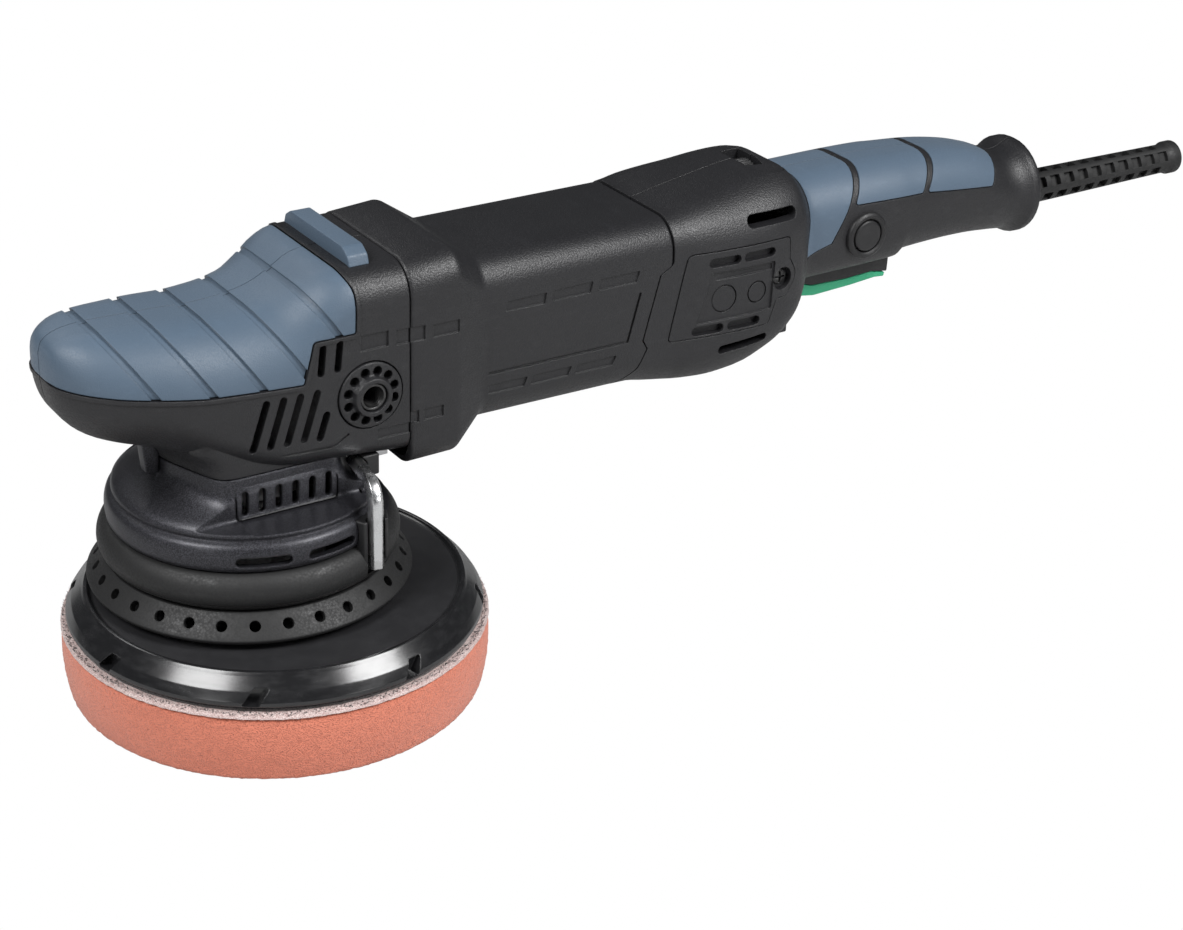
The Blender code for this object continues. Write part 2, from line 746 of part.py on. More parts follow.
def head():
    """Head casing halves, soft grips, bumper, vent caps and side-handle nuts."""
    shell = casing("shell", "black_plastic", HEAD_STATIONS)
    seat = recess(HEAD_STATIONS, grown(GRIP_OUTLINE, SEAT_MARGIN), GRIP_THICKNESS + GAP, HEAD_NOSE)
    cut(shell, seat)
    room = stretched(inset(HEAD_STATIONS, GRIP_THICKNESS + GAP + 2.0, HEAD_NOSE), 0, 6)
    cut(shell, casing("room", "black_plastic", room))
    way = [neck_ring(z, 0.0, 1.0, shrink=-GAP) for z in (60.0, SKIRT_TOP + 4.5)]
    cut(shell, lofted("neck_way", "black_plastic", way))
    cut(shell, block("casting_way", "black_plastic", (24.6, -23.6, 60), (70, 23.6, 101)))
    for side in (-1, 1):
        boss = rod("boss", "black_plastic", 12.3, (30.4, side * 29.0, 112), (0, side, 0), 20, 24)
        cut(shell, boss)
        for i in range(4):
            centre = (-5.6 + 9.0 * i, 104.5)
            slot = stadium(centre, 16.0, 2.4, 76)
            low, high = sorted((side * 24.0, side * 40.0))
            cut(shell, extruded("slot", "black_plastic", slot, low, high))
    pieces = halves(shell, "head_shell")
    for suffix, side in (("left", -1), ("right", 1)):
        grip = skin(
            f"head_grip_{suffix}", "blue_rubber", HEAD_STATIONS, GRIP_OUTLINE, side, GRIP_THICKNESS, HEAD_NOSE
        )
        cap = turned_along(
            f"side_vent_cap_{suffix}",
            "black_plastic",
            [(5.3, 0), (12.0, 0), (12.0, 5.2), (11.2, 6.0), (7.6, 6.4), (6.6, 7.6), (5.3, 7.6)],
            (30.4, side * 29.5, 112),
            (0, side, 0),
            24,
        )
        base = (30.4, side * 24.4, 112)
        nut = tube(f"handle_nut_{suffix}", "steel", 5.0, 3.4, base, (0, side, 0), 11.6, 20)
        pieces += [grip, cap, nut]
    bumper = casing(
        "top_bumper",
        "blue_rubber",
        [
            (27.2, 20.0, 156.4, 155.5, 0.3, 0.3),
            (28.4, 23.0, 160.6, 155.5, 2.4, 0.4),
            (35.2, 23.0, 160.8, 155.5, 2.4, 0.4),
            (36.4, 20.0, 156.6, 155.5, 0.3, 0.3),
        ],
    )
    return pieces + [bumper]


# ---------------------------------------------------------------- motor housing

COLLAR_STATIONS = [
    (MOTOR_FRONT, 33.8, 155.3, 80.0, 11.5, 9.0),
    (65.0, 33.8, 156.6, 80.4, 11.0, 9.0),
    (77.0, 29.5, 148.8, 87.8, 11.5, 12.0),
    (MOTOR_REAR, 29.5, 149.2, 87.4, 11.5, 12.0),
]


def motor_housing():
    """Collar and barrel in one moulding, open at both ends."""
    body = casing("motor_housing", "black_plastic", COLLAR_STATIONS)
    room = stretched(inset(COLLAR_STATIONS, WALL), 5, 5)
    cut(body, casing("room", "black_plastic", room))
    ends = [(x, 28.6, 147.8, 88.8, 11.0, 11.0) for x in (77.4, 80.4)]
    bulkhead = casing("bulkhead", "black_plastic", ends)
    cut(bulkhead, rod("way", "black_plastic", 16.8, (60, 0, MOTOR_Z), ALONG_X, 40, 32))
    return [join(body, bulkhead)]


# ---------------------------------------------------------------- rear housing and handle

HANDLE_STATIONS = [
    (HANDLE_FRONT, 29.6, 149.6, 87.4, 11.5, 12.0),
    (165.0, 31.2, 151.4, 83.8, 14.0, 14.0),
    (176.0, 32.4, 153.4, 82.2, 18.0, 16.0),
    (188.0, 33.0, 155.4, 82.6, 22.0, 17.0),
    (198.0, 32.6, 156.8, 85.0, 23.0, 17.0),
    (207.0, 31.6, 157.2, 90.6, 23.0, 15.0),
    (214.0, 29.6, 155.8, 95.6, 21.0, 15.0),
    (219.0, 26.0, 152.0, 102.0, 18.0, 15.0),
    (222.5, 22.8, 149.8, 108.4, 17.0, 12.0),
    (252.0, 22.6, 150.2, 108.8, 17.0, 12.0),
    (269.0, 22.0, 150.0, 109.0, 16.5, 12.0),
    (273.0, 21.8, 149.8, 111.4, 16.5, 12.0),
    (290.0, 20.8, 148.6, 111.8, 16.0, 12.0),
    (306.0, 19.6, 146.4, 111.2, 15.5, 12.0),
    (320.0, 18.4, 142.6, 109.4, 15.0, 13.0),
    (328.0, 18.0, 140.0, 107.4, 15.0, 15.0),
    (334.0, 19.4, 142.0, 105.0, 18.4, 18.4),
    (338.5, 20.0, 143.0, 104.4, 19.3, 19.3),
    (HANDLE_REAR, 19.0, 142.0, 105.4, 18.2, 18.2),
]
PANELS = {
    "front": [(221.0, 160), (221.0, 121.5), (233.0, 125.0), (241.0, 138.0), (251.6, 160)],
    "middle": [(253.8, 160), (243.6, 138.0), (277.6, 137.0), (288.0, 160)],
    "rear": [(290.2, 160), (280.0, 136.8), (313.0, 133.0), (326.0, 160)],
}
LOCK_PLACE = (249.5, 125.3)
TRIGGER_PIVOT = (236.0, 0.0, 112.0)
DIAL_CENTRE = (205.0, 0.0, 146.4)
SLEEVE_FRONT = 331.5
SLEEVE_Z = 119.6


def handle():
    """Rear housing and handle halves with pads, covers, controls and cable entry."""
    solid = casing("shell", "black_plastic", HANDLE_STATIONS)
    for outline in PANELS.values():
        cut(solid, recess(HANDLE_STATIONS, grown(outline, SEAT_MARGIN), GRIP_THICKNESS + GAP))
    room = inset(HANDLE_STATIONS[:-1], GRIP_THICKNESS + GAP + 2.0)
    room = [(HANDLE_FRONT - 5.0, *room[0][1:]), *room[1:-1], (337.0, *room[-1][1:])]
    cut(solid, casing("room", "black_plastic", room))
    cut(
        solid,
        rod("cable_way", "black_plastic", 7.6, (320, 0, SLEEVE_Z), ALONG_X, 40, 24),
        block("trigger_way", "black_plastic", (230.6, -8.3, 95), (274.4, 8.3, 118)),
        block("dial_way", "black_plastic", (200.9, -7.6, 143), (209.1, 7.6, 165)),
        rod("lock_way", "black_plastic", 6.3, (LOCK_PLACE[0], -12.0, LOCK_PLACE[1]), (0, -1, 0), 20, 24),
    )
    for side in (-1, 1):
        cover_hole = block("cover_way", "black_plastic", *cover_box(side, GAP))
        cut(solid, cover_hole)
    pieces = halves(solid, "handle_shell")
    for suffix, side in (("left", -1), ("right", 1)):
        for name, outline in PANELS.items():
            label = f"handle_grip_{name}_{suffix}"
            pieces.append(skin(label, "blue_rubber", HANDLE_STATIONS, outline, side, GRIP_THICKNESS))
        pieces += brush_cover(suffix, side)
    sleeve = turned_along(
        "cable_sleeve",
        "black_rubber",
        [(3.6, 0), (8.8, 0), (8.8, 4.8), (7.2, 4.8), (7.2, 30.0), (6.0, 96.6), (6.9, 97.2), (6.9, 100.4),
         (3.6, 100.4)],
        (SLEEVE_FRONT, 0, SLEEVE_Z),
        ALONG_X,
        20,
    )
    switch = block("switch_module", "black_plastic", (237.0, -8.5, 121.0), (276.0, 8.5, 137.0))
    board = block("speed_board", "board_green", (196.5, -15.0, 102.0), (198.5, 15.0, 106.5))
    return pieces + [sleeve, switch, board]


def cover_box(side, margin):
    """Corners of the brush cover's opening on one side."""
    low, high = sorted((side * 26.5, side * 40.0))
    return (163.0 - margin, low, 99.0 - margin), (201.0 + margin, high, 133.0 + margin)


def brush_cover(suffix, side):
    """Side cover over a brush, and its screw."""
    cover = casing(f"side_cover_{suffix}", "black_plastic", inset(HANDLE_STATIONS[:7], -0.6))
    cut(cover, casing("core", "black_plastic", stretched(inset(HANDLE_STATIONS[:7], 2.4), 5, 5)))
    keep(cover, block("region", "black_plastic", *cover_box(side, 0.0)))
    screw_x, screw_z = 196.5, 116.0
    way = rod("screw_way", "black_plastic", 3.3, (screw_x, side * 20, screw_z), (0, side, 0), 30, 18)
    cut(cover, way)
    screw = turned_along(
        f"cover_screw_{suffix}",
        "steel",
        [(0, 0), (1.5, 0), (1.5, 4.5), (3.0, 4.5), (3.0, 7.0), (0, 7.0)],
        (screw_x, side * 26.3, screw_z),
        (0, side, 0),
        16,
    )
    return [cover, screw]


def controls():
    """Trigger with its green insert, lock button and speed dial."""
    trigger = extruded(
        "trigger",
        "black_plastic",
        [(231.0, 113.5), (231.0, 103.5), (237.0, 101.5), (274.0, 101.8), (274.0, 106.0), (262.0, 113.5)],
        -8.0,
        8.0,
    )
    insert = extruded(
        "trigger_insert",
        "trigger_green",
        [(229.0, 101.4), (230.0, 98.6), (240.0, 97.6), (256.0, 98.4), (270.0, 99.8), (274.0, 100.2),
         (274.0, 101.5), (237.0, 101.2), (231.0, 103.1)],
        -7.4,
        7.4,
    )
    x, z = LOCK_PLACE
    lock = turned_along(
        "lock_button",
        "black_plastic",
        [(0, 0), (6.0, 0), (6.0, 10.0), (5.2, 11.0), (0, 11.4)],
        (x, -13.5, z),
        (0, -1, 0),
        24,
    )
    dial = turned_along(
        "speed_dial",
        "black_plastic",
        [(0, -3.6), (8.9, -3.6), (9.2, -3.0), (9.2, 3.0), (8.9, 3.6), (0, 3.6)],
        DIAL_CENTRE,
        ALONG_X,
        24,
    )
    return trigger, insert, lock, dial


def build():
    """Make every piece and group the moving ones on their joint axes."""
    clear_scene()
    skirt_parts()
    hex_key()
    gearbox()
    head()
    motor_housing()
    fixed_motor_parts()
    handle()
    pad = pad_stack()
    drive = drive_line()
    rotor = armature()
    trigger, insert, lock, dial = controls()
    spindle_pivot = on_pivot("spindle_axis", (0, 0, 60), drive)
    on_pivot("plate_axis", (PAD_X, PAD_Y, 50), pad, spindle_pivot)
    on_pivot("motor_axis", (0, 0, MOTOR_Z), rotor)
    on_pivot("trigger_axis", TRIGGER_PIVOT, [trigger, insert])
    on_pivot("lock_axis", (LOCK_PLACE[0], -20, LOCK_PLACE[1]), [lock])
    on_pivot("dial_axis", DIAL_CENTRE, [dial])


build()
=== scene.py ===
"""Looks of a dual action polisher, built round its packed working model.

Each class below makes one sub-assembly of the tool: its sizes are the class's
fields, in millimetres, and its methods model the pieces and give them a finish.
"""

import json
import logging
import math
import random
from collections.abc import Iterator, Sequence
from contextlib import contextmanager
from dataclasses import dataclass, field
from enum import Enum

import bmesh
import bpy
import numpy as np
from mathutils import Matrix, Vector


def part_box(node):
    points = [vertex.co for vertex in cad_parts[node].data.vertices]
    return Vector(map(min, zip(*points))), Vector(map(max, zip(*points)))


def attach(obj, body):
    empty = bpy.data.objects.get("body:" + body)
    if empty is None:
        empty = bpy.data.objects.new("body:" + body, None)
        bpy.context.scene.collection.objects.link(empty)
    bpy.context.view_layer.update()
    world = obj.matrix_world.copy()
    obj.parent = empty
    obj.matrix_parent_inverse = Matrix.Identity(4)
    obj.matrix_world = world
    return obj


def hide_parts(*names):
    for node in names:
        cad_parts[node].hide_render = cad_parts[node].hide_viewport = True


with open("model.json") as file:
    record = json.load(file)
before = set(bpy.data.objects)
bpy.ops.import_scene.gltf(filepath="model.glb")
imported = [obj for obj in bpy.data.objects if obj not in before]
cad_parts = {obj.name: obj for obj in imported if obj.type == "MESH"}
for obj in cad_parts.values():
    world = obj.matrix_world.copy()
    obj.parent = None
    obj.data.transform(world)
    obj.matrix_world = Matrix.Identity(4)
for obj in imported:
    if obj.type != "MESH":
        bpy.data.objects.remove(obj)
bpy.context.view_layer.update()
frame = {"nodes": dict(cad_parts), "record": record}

log = logging.getLogger("polisher")

MM = 0.001
WELD = 2e-6  # metres within which points become one
SEAM = 0.4  # mm between the halves of a split moulding

Colour = tuple[float, float, float]
Point2 = tuple[float, float]
Corner = tuple[float, ...]


class Body(Enum):
    """Rigid bodies that modelled pieces ride on."""

    HOUSING = "housing"
    PAD = "pad_assembly"
    TRIGGER = "trigger_lever"
    LOCK = "lock"
    WHEEL = "speed_wheel"


class Axis(Enum):
    """Direction that an outline is pushed along or a profile is turned about."""

    X = 0
    Y = 1
    Z = 2


class Join(Enum):
    """What a Boolean does."""

    CUT = "DIFFERENCE"
    ADD = "UNION"
    KEEP = "INTERSECT"


SIDES = (("left", -1), ("right", 1))


# ------------------------------------------------------------------ shader maths


class Wire:
    """A shader socket that takes part in arithmetic."""

    def __init__(self, recipe: "Recipe", socket: bpy.types.NodeSocket) -> None:
        """Keep the socket and the recipe that its nodes go into."""
        self.recipe = recipe
        self.socket = socket

    def _maths(self, operation: str, first: object, second: object) -> "Wire":
        """Add one Math node."""
        return self.recipe.add("ShaderNodeMath", {"operation": operation}, {0: first, 1: second})

    def __add__(self, other: object) -> "Wire":
        """Return self + other."""
        return self._maths("ADD", self, other)

    __radd__ = __add__

    def __sub__(self, other: object) -> "Wire":
        """Return self - other."""
        return self._maths("SUBTRACT", self, other)

    def __rsub__(self, other: object) -> "Wire":
        """Return other - self."""
        return self._maths("SUBTRACT", other, self)

    def __mul__(self, other: object) -> "Wire":
        """Return self * other."""
        return self._maths("MULTIPLY", self, other)

    __rmul__ = __mul__

    def __gt__(self, other: object) -> "Wire":
        """Return 1 where self is above other."""
        return self._maths("GREATER_THAN", self, other)


class Recipe:
    """The node tree of one material."""

    def __init__(self, name: str) -> None:
        """Start a material with a plain Principled shader.

        Args:
            name: name of the material.
        """
        self.material = bpy.data.materials.new(name)
        self.material.use_nodes = True
        self.tree = self.material.node_tree
        self.shader = self.tree.nodes["Principled BSDF"]
        self._place: Wire | None = None

    def add(
        self,
        kind: str,
        settings: dict[str, object] | None = None,
        values: dict[int | str, object] | None = None,
        output: int = 0,
    ) -> Wire:
        """Add a node.

        Args:
            kind: Blender's name for the node type.
            settings: attributes to set first; "stops" is a ramp's list of (place, colour).
            values: numbers, colours or wires for its input sockets.
            output: index of the output socket to return.

        Returns:
            The chosen output, as a wire.
        """
        node = self.tree.nodes.new(kind)
        for key, value in (settings or {}).items():
            if key == "stops":
                self._set_stops(node, value)
            else:
                setattr(node, key, value)
        for key, value in (values or {}).items():
            self.feed(node.inputs[key], value)
        return Wire(self, node.outputs[output])

    def _set_stops(self, node: bpy.types.Node, stops: Sequence[tuple[float, float]]) -> None:
        """Give a colour ramp its grey stops.

        Args:
            node: the ramp.
            stops: (place, level) of each stop.
        """
        elements = node.color_ramp.elements
        for element, (place, level) in zip(elements, stops):
            element.position = place
            element.color = (level, level, level, 1.0)

    def feed(self, socket: bpy.types.NodeSocket, value: object) -> None:
        """Link a wire to a socket, or set the socket's own value.

        Args:
            socket: the input socket.
            value: a wire, number, colour or vector.
        """
        if isinstance(value, Wire):
            self.tree.links.new(value.socket, socket)
        elif isinstance(value, tuple) and len(value) == 3 and socket.type == "RGBA":
            socket.default_value = (*value, 1.0)
        else:
            socket.default_value = value

    def set(self, **values: object) -> None:
        """Set or link the shader's sockets; underscores stand for spaces."""
        for key, value in values.items():
            self.feed(self.shader.inputs[key.replace("_", " ")], value)

    def place(self) -> Wire:
        """Read the position on the object.

        Returns:
            The position, in metres.
        """
        if self._place is None:
            self._place = self.add("ShaderNodeTexCoord", output=3)
        return self._place

    def stretched(self, scale: tuple[float, float, float]) -> Wire:
        """Return the position with each axis scaled, for brushed or drawn patterns."""
        return self.add("ShaderNodeMapping", None, {"Vector": self.place(), "Scale": scale})

    def noise(self, size: float, detail: float = 2.0, place: Wire | None = None) -> Wire:
        """Return soft noise from 0 to 1 whose features are about size mm."""
        values = {"Vector": place or self.place(), "Scale": 1.0 / (size * MM), "Detail": detail}
        return self.add("ShaderNodeTexNoise", None, values)

    def cells(self, size: float, feature: str = "F1", output: int = 0) -> Wire:
        """Return a Voronoi pattern of cells about size mm across."""
        values = {"Vector": self.place(), "Scale": 1.0 / (size * MM)}
        return self.add("ShaderNodeTexVoronoi", {"feature": feature}, values, output)

    def ramp(self, factor: Wire, *stops: tuple[float, float]) -> Wire:
        """Return factor pushed through a two-stop grey ramp."""
        return self.add("ShaderNodeValToRGB", {"stops": stops}, {0: factor})

    def mix(self, factor: object, first: object, second: object) -> Wire:
        """Return a colour between first and second."""
        return self.add("ShaderNodeMix", {"data_type": "RGBA"}, {0: factor, 6: first, 7: second}, 2)

    def surface(self, height: Wire, depth: float, edge: float, strength: float = 1.0) -> None:
        """Give the shader a bumped normal with softly rounded edges.

        Args:
            height: pattern from 0 to 1.
            depth: how deep the pattern is, in mm.
            edge: radius of the edges, in mm.
            strength: share of the bump that shows.
        """
        soft = self.add("ShaderNodeBevel", {"samples": 4}, {"Radius": edge * MM})
        values = {"Strength": strength, "Distance": depth * MM, "Height": height, "Normal": soft}
        self.set(Normal=self.add("ShaderNodeBump", None, values))


# ------------------------------------------------------------------ finishes


@dataclass(frozen=True)
class Moulded:
    """Moulded plastic or rubber with a spark-eroded grain.

    Attributes:
        name: material name.
        colour: main colour.
        tint: lighter colour that it drifts to.
        roughness: mean roughness.
        grain: size of one grain, mm.
        depth: depth of the grain, mm.
        edge: rounding of edges, mm.
        scuff: share of rub marks.
        sheen: soft-touch bloom.
    """

    name: str
    colour: Colour
    tint: Colour
    roughness: float
    grain: float = 0.7
    depth: float = 0.035
    edge: float = 0.5
    scuff: float = 0.12
    sheen: float = 0.0

    def material(self) -> bpy.types.Material:
        """Mix the finish.

        Returns:
            The material.
        """
        recipe = Recipe(self.name)
        drift = recipe.noise(38.0, 4.0)
        fine = recipe.noise(self.grain * 0.55, 2.0)
        grains = recipe.cells(self.grain)
        rub = recipe.noise(5.0, 6.0, recipe.stretched((1.0, 0.35, 2.4)))
        rubbed = recipe.ramp(rub, (0.56, 0.0), (0.74, 1.0)) * self.scuff
        tone = recipe.mix(drift * 0.55 + fine * 0.45, self.colour, self.tint)
        recipe.set(
            Base_Color=recipe.mix(rubbed, tone, tuple(c * 2.2 + 0.01 for c in self.tint)),
            Roughness=self.roughness - 0.14 + drift * 0.10 + grains * 0.26 - rubbed * 0.6,
            Sheen_Weight=self.sheen,
            Sheen_Roughness=0.45,
            Specular_IOR_Level=0.5,
        )
        recipe.surface(grains * 0.65 + fine * 0.5, self.depth, self.edge)
        return recipe.material


@dataclass(frozen=True)
class MetalPaint:
    """Dark metallic lacquer with visible flake."""

    name: str
    colour: Colour
    flake: Colour
    size: float = 0.55

    def material(self) -> bpy.types.Material:
        """Mix the finish.

        Returns:
            The material.
        """
        recipe = Recipe(self.name)
        flakes = recipe.add(
            "ShaderNodeSeparateColor", None, {0: recipe.cells(self.size, output=1)}
        )
        drift = recipe.noise(22.0, 3.0)
        peel = recipe.noise(1.6, 2.0)
        share = recipe.ramp(flakes, (0.35, 0.0), (1.0, 1.0))
        recipe.set(
            Base_Color=recipe.mix(share, self.colour, self.flake),
            Metallic=0.55 + share * 0.35,
            Roughness=0.34 + drift * 0.10 + flakes * 0.12,
            Coat_Weight=0.18,
            Coat_Roughness=0.25,
        )
        recipe.surface(peel * 0.6 + flakes * 0.4, 0.03, 1.2)
        return recipe.material


@dataclass(frozen=True)
class BareMetal:
    """Machined, plated or cast metal.

    Attributes:
        name: material name.
        colour: bright colour.
        dull: colour in the hollows of the finish.
        roughness: mean roughness.
        brush: scale of the drawing marks along each axis.
        depth: depth of the marks, mm.
        grain: size of the marks, mm.
    """

    name: str
    colour: Colour
    dull: Colour
    roughness: float
    brush: tuple[float, float, float] = (1.0, 1.0, 1.0)
    depth: float = 0.01
    grain: float = 0.6

    def material(self) -> bpy.types.Material:
        """Mix the finish.

        Returns:
            The material.
        """
        recipe = Recipe(self.name)
        marks = recipe.noise(self.grain, 4.0, recipe.stretched(self.brush))
        stain = recipe.noise(9.0, 5.0)
        worn = recipe.ramp(stain, (0.42, 0.0), (0.70, 1.0))
        recipe.set(
            Base_Color=recipe.mix(worn * 0.6 + marks * 0.3, self.colour, self.dull),
            Metallic=1.0,
            Roughness=self.roughness - 0.06 + marks * 0.14 + worn * 0.10,
        )
        recipe.surface(marks, self.depth, 0.3)
        return recipe.material


@dataclass(frozen=True)
class GlossyPlate:
    """Backing plate: a glossy flank round a matt deck.

    Attributes:
        name: material name.
        centre: the plate's axis in X and Y, mm.
        deck: radius where the matt deck ends, mm.
    """

    name: str
    centre: Point2
    deck: float

    def material(self) -> bpy.types.Material:
        """Mix the finish.

        Returns:
            The material.
        """
        recipe = Recipe(self.name)
        middle = (self.centre[0] * MM, self.centre[1] * MM, 0.0)
        flat = recipe.add(
            "ShaderNodeVectorMath", {"operation": "MULTIPLY"}, {0: recipe.place(), 1: (1.0, 1.0, 0.0)}
        )
        reach = recipe.add("ShaderNodeVectorMath", {"operation": "DISTANCE"}, {0: flat, 1: middle}, 1)
        matt = 1.0 - (reach > self.deck * MM)
        swirl = recipe.noise(26.0, 3.0)
        smear = recipe.noise(6.0, 6.0, recipe.stretched((1.0, 1.0, 3.5)))
        smears = recipe.ramp(smear, (0.45, 0.0), (0.75, 1.0))
        grain = recipe.noise(0.5, 2.0)
        tone = recipe.mix(smears * 0.5, (0.010, 0.010, 0.011), (0.028, 0.028, 0.030))
        recipe.set(
            Base_Color=recipe.mix(matt * 0.6, tone, (0.022, 0.022, 0.024)),
            Roughness=0.20 + smears * 0.06 + swirl * 0.05 + matt * 0.26,
            Coat_Weight=(1.0 - matt) * 0.4,
            Coat_Roughness=0.16,
        )
        recipe.surface(swirl * 0.9 + grain * 0.1, 0.10, 0.5, 0.4)
        return recipe.material


@dataclass(frozen=True)
class OpenCellFoam:
    """Reticulated polishing foam: open pores in two sizes."""

    name: str
    colour: Colour
    # painted shade: the darker colour that stands in for the shade inside the pores
    painted_shade: Colour
    pore: float = 0.9

    def material(self) -> bpy.types.Material:
        """Mix the finish.

        Returns:
            The material.
        """
        recipe = Recipe(self.name)
        small = recipe.cells(self.pore, "F1")
        large = recipe.cells(self.pore * 2.3, "SMOOTH_F1")
        drift = recipe.noise(30.0, 3.0)
        dust = recipe.noise(0.45, 2.0)
        pores = recipe.ramp(small, (0.12, 1.0), (0.62, 0.0))
        holes = recipe.ramp(large, (0.06, 1.0), (0.24, 0.0))
        # mask of painted shade in the pores and holes, plus a fine random darkening
        depth = pores * 0.45 + holes * 0.35 + (1.0 - dust) * 0.25
        tone = recipe.mix(drift, self.colour, tuple(min(c * 1.12, 1.0) for c in self.colour))
        recipe.set(
            Base_Color=recipe.mix(depth, tone, self.painted_shade),
            Roughness=0.92,
            Sheen_Weight=0.25,
            Sheen_Roughness=0.6,
            Specular_IOR_Level=0.2,
        )
        recipe.surface(1.0 - (pores * 0.7 + holes * 0.5), 0.28, 0.3, 0.8)
        return recipe.material


@dataclass(frozen=True)
class Fleece:
    """Brushed loop or hook tape: short fibres lying every way."""

    name: str
    colour: Colour
    # painted shade: the darker colour that stands in for the shade between the fibres
    painted_shade: Colour

    def material(self) -> bpy.types.Material:
        """Mix the finish.

        Returns:
            The material.
        """
        recipe = Recipe(self.name)
        fibres = recipe.noise(0.5, 5.0, recipe.stretched((1.0, 1.0, 2.6)))
        tufts = recipe.cells(0.8)
        # raised fibres take the light colour and the gaps between them take the painted shade
        blend = recipe.ramp(fibres, (0.36, 0.0), (0.62, 1.0))
        recipe.set(
            Base_Color=recipe.mix(blend * 0.75 + tufts * 0.2, self.painted_shade, self.colour),
            Roughness=0.95,
            Sheen_Weight=0.5,
            Sheen_Roughness=0.5,
        )
        recipe.surface(fibres * 0.7 + tufts * 0.5, 0.35, 0.2)
        return recipe.material


@dataclass(frozen=True)
class Ground:
    """Pale studio floor."""

    name: str
    colour: Colour

    def material(self) -> bpy.types.Material:
        """Mix the finish.

        Returns:
            The material.
        """
        recipe = Recipe(self.name)
        paper = recipe.noise(4.0, 4.0)
        recipe.set(
            Base_Color=recipe.mix(paper * 0.2, self.colour, tuple(c * 0.97 for c in self.colour)),
            Roughness=0.9,
            Specular_IOR_Level=0.1,
        )
        return recipe.material


Finish = Moulded | MetalPaint | BareMetal | GlossyPlate | OpenCellFoam | Fleece | Ground


class Paintbox:
    """The tool's finishes, each made once."""

    SHELL = Moulded("charcoal_shell", (0.0080, 0.0080, 0.0092), (0.0170, 0.0170, 0.0190), 0.40, 0.6, 0.12)
    SHELL_DARK = Moulded("black_shell", (0.0060, 0.0060, 0.0066), (0.0130, 0.0130, 0.0140), 0.44)
    GRIP = Moulded(
        "blue_grip", (0.056, 0.088, 0.128), (0.084, 0.122, 0.170), 0.46, 0.5, 0.055, 0.45, 0.05, 0.08
    )
    RUBBER = Moulded(
        "black_rubber", (0.0060, 0.0060, 0.0063), (0.0135, 0.0135, 0.0138), 0.56, 0.8, 0.035, 0.5, 0.2
    )
    BUTTON = Moulded("button_black", (0.008, 0.008, 0.009), (0.014, 0.014, 0.015), 0.40, 0.4, 0.012)
    GREEN = Moulded(
        "trigger_green", (0.020, 0.330, 0.160), (0.050, 0.430, 0.230), 0.38, 0.6, 0.015, 0.4, 0.08
    )
    BOARD = Moulded("board_green", (0.02, 0.12, 0.06), (0.05, 0.20, 0.10), 0.45, 1.2, 0.05)
    CARBON = Moulded("pressed_carbon", (0.02, 0.02, 0.02), (0.05, 0.05, 0.05), 0.75, 0.4, 0.04)
    SKIRT = MetalPaint("anthracite_flake", (0.020, 0.020, 0.024), (0.085, 0.085, 0.098), 0.24)
    CAST = BareMetal("cast_aluminium", (0.62, 0.62, 0.63), (0.36, 0.36, 0.37), 0.42, depth=0.12, grain=1.1)
    STEEL = BareMetal("bright_steel", (0.74, 0.75, 0.76), (0.52, 0.52, 0.52), 0.24, (1.0, 1.0, 0.08))
    DARK_STEEL = BareMetal("black_steel", (0.10, 0.10, 0.10), (0.05, 0.05, 0.05), 0.38)
    COPPER = BareMetal("winding_copper", (0.72, 0.32, 0.16), (0.35, 0.14, 0.07), 0.35, (1, 8, 8), 0.15, 1.2)
    BRASS = BareMetal("stamped_brass", (0.74, 0.56, 0.26), (0.42, 0.30, 0.12), 0.32)
    # The second colour of the foam, loop and hook finishes is painted shade for the pores and the gaps
    # between fibres.
    FOAM = OpenCellFoam("salmon_foam", (0.700, 0.225, 0.140), (0.330, 0.070, 0.038), 0.55)
    LOOP = Fleece("loop_fleece", (0.74, 0.64, 0.61), (0.34, 0.20, 0.19))
    HOOK = Fleece("hook_tape", (0.10, 0.09, 0.09), (0.015, 0.015, 0.015))
    FLOOR = Ground("studio_paper", (0.50, 0.50, 0.50))

    def __init__(self) -> None:
        """Start with nothing mixed."""
        self._made: dict[str, bpy.types.Material] = {}

    def material(self, finish: Finish) -> bpy.types.Material:
        """Hand out a finish, mixed on first use.

        Args:
            finish: the finish.

        Returns:
            Its material.
        """
        if finish.name not in self._made:
            self._made[finish.name] = finish.material()
        return self._made[finish.name]


PAINTS = Paintbox()


# ------------------------------------------------------------------ bench tools


def pick(*objects: bpy.types.Object) -> None:
    """Deselect everything, then select these objects and make the first one active."""
    bpy.ops.object.select_all(action="DESELECT")
    for obj in objects:
        obj.select_set(True)
    bpy.context.view_layer.objects.active = objects[0]


@contextmanager
def editing(obj: bpy.types.Object, everything: bool = True) -> Iterator[bmesh.types.BMesh]:
    """Open an object in edit mode with all or nothing selected.

    Args:
        obj: the object to edit.
        everything: True to start with all of it selected.

    Yields:
        The mesh being edited.
    """
    pick(obj)
    bpy.ops.object.mode_set(mode="EDIT")
    bpy.ops.mesh.select_mode(type="VERT")
    bpy.ops.mesh.select_all(action="SELECT" if everything else "DESELECT")
    try:
        yield bmesh.from_edit_mesh(obj.data)
    finally:
        bpy.ops.object.mode_set(mode="OBJECT")


def adopt(name: str) -> bpy.types.Object:
    """Name the primitive that was just added.

    Args:
        name: name of the object and its mesh.

    Returns:
        The object.
    """
    obj = bpy.context.object
    obj.name = name
    obj.data.name = name
    return obj


def tidy_mesh() -> None:
    """In edit mode: merge doubles, drop loose edges and turn every face outwards."""
    bpy.ops.mesh.select_all(action="SELECT")
    bpy.ops.mesh.remove_doubles(threshold=WELD)
    bpy.ops.mesh.delete_loose(use_verts=True, use_edges=True, use_faces=False)
    bpy.ops.mesh.select_all(action="SELECT")
    bpy.ops.mesh.normals_make_consistent(inside=False)


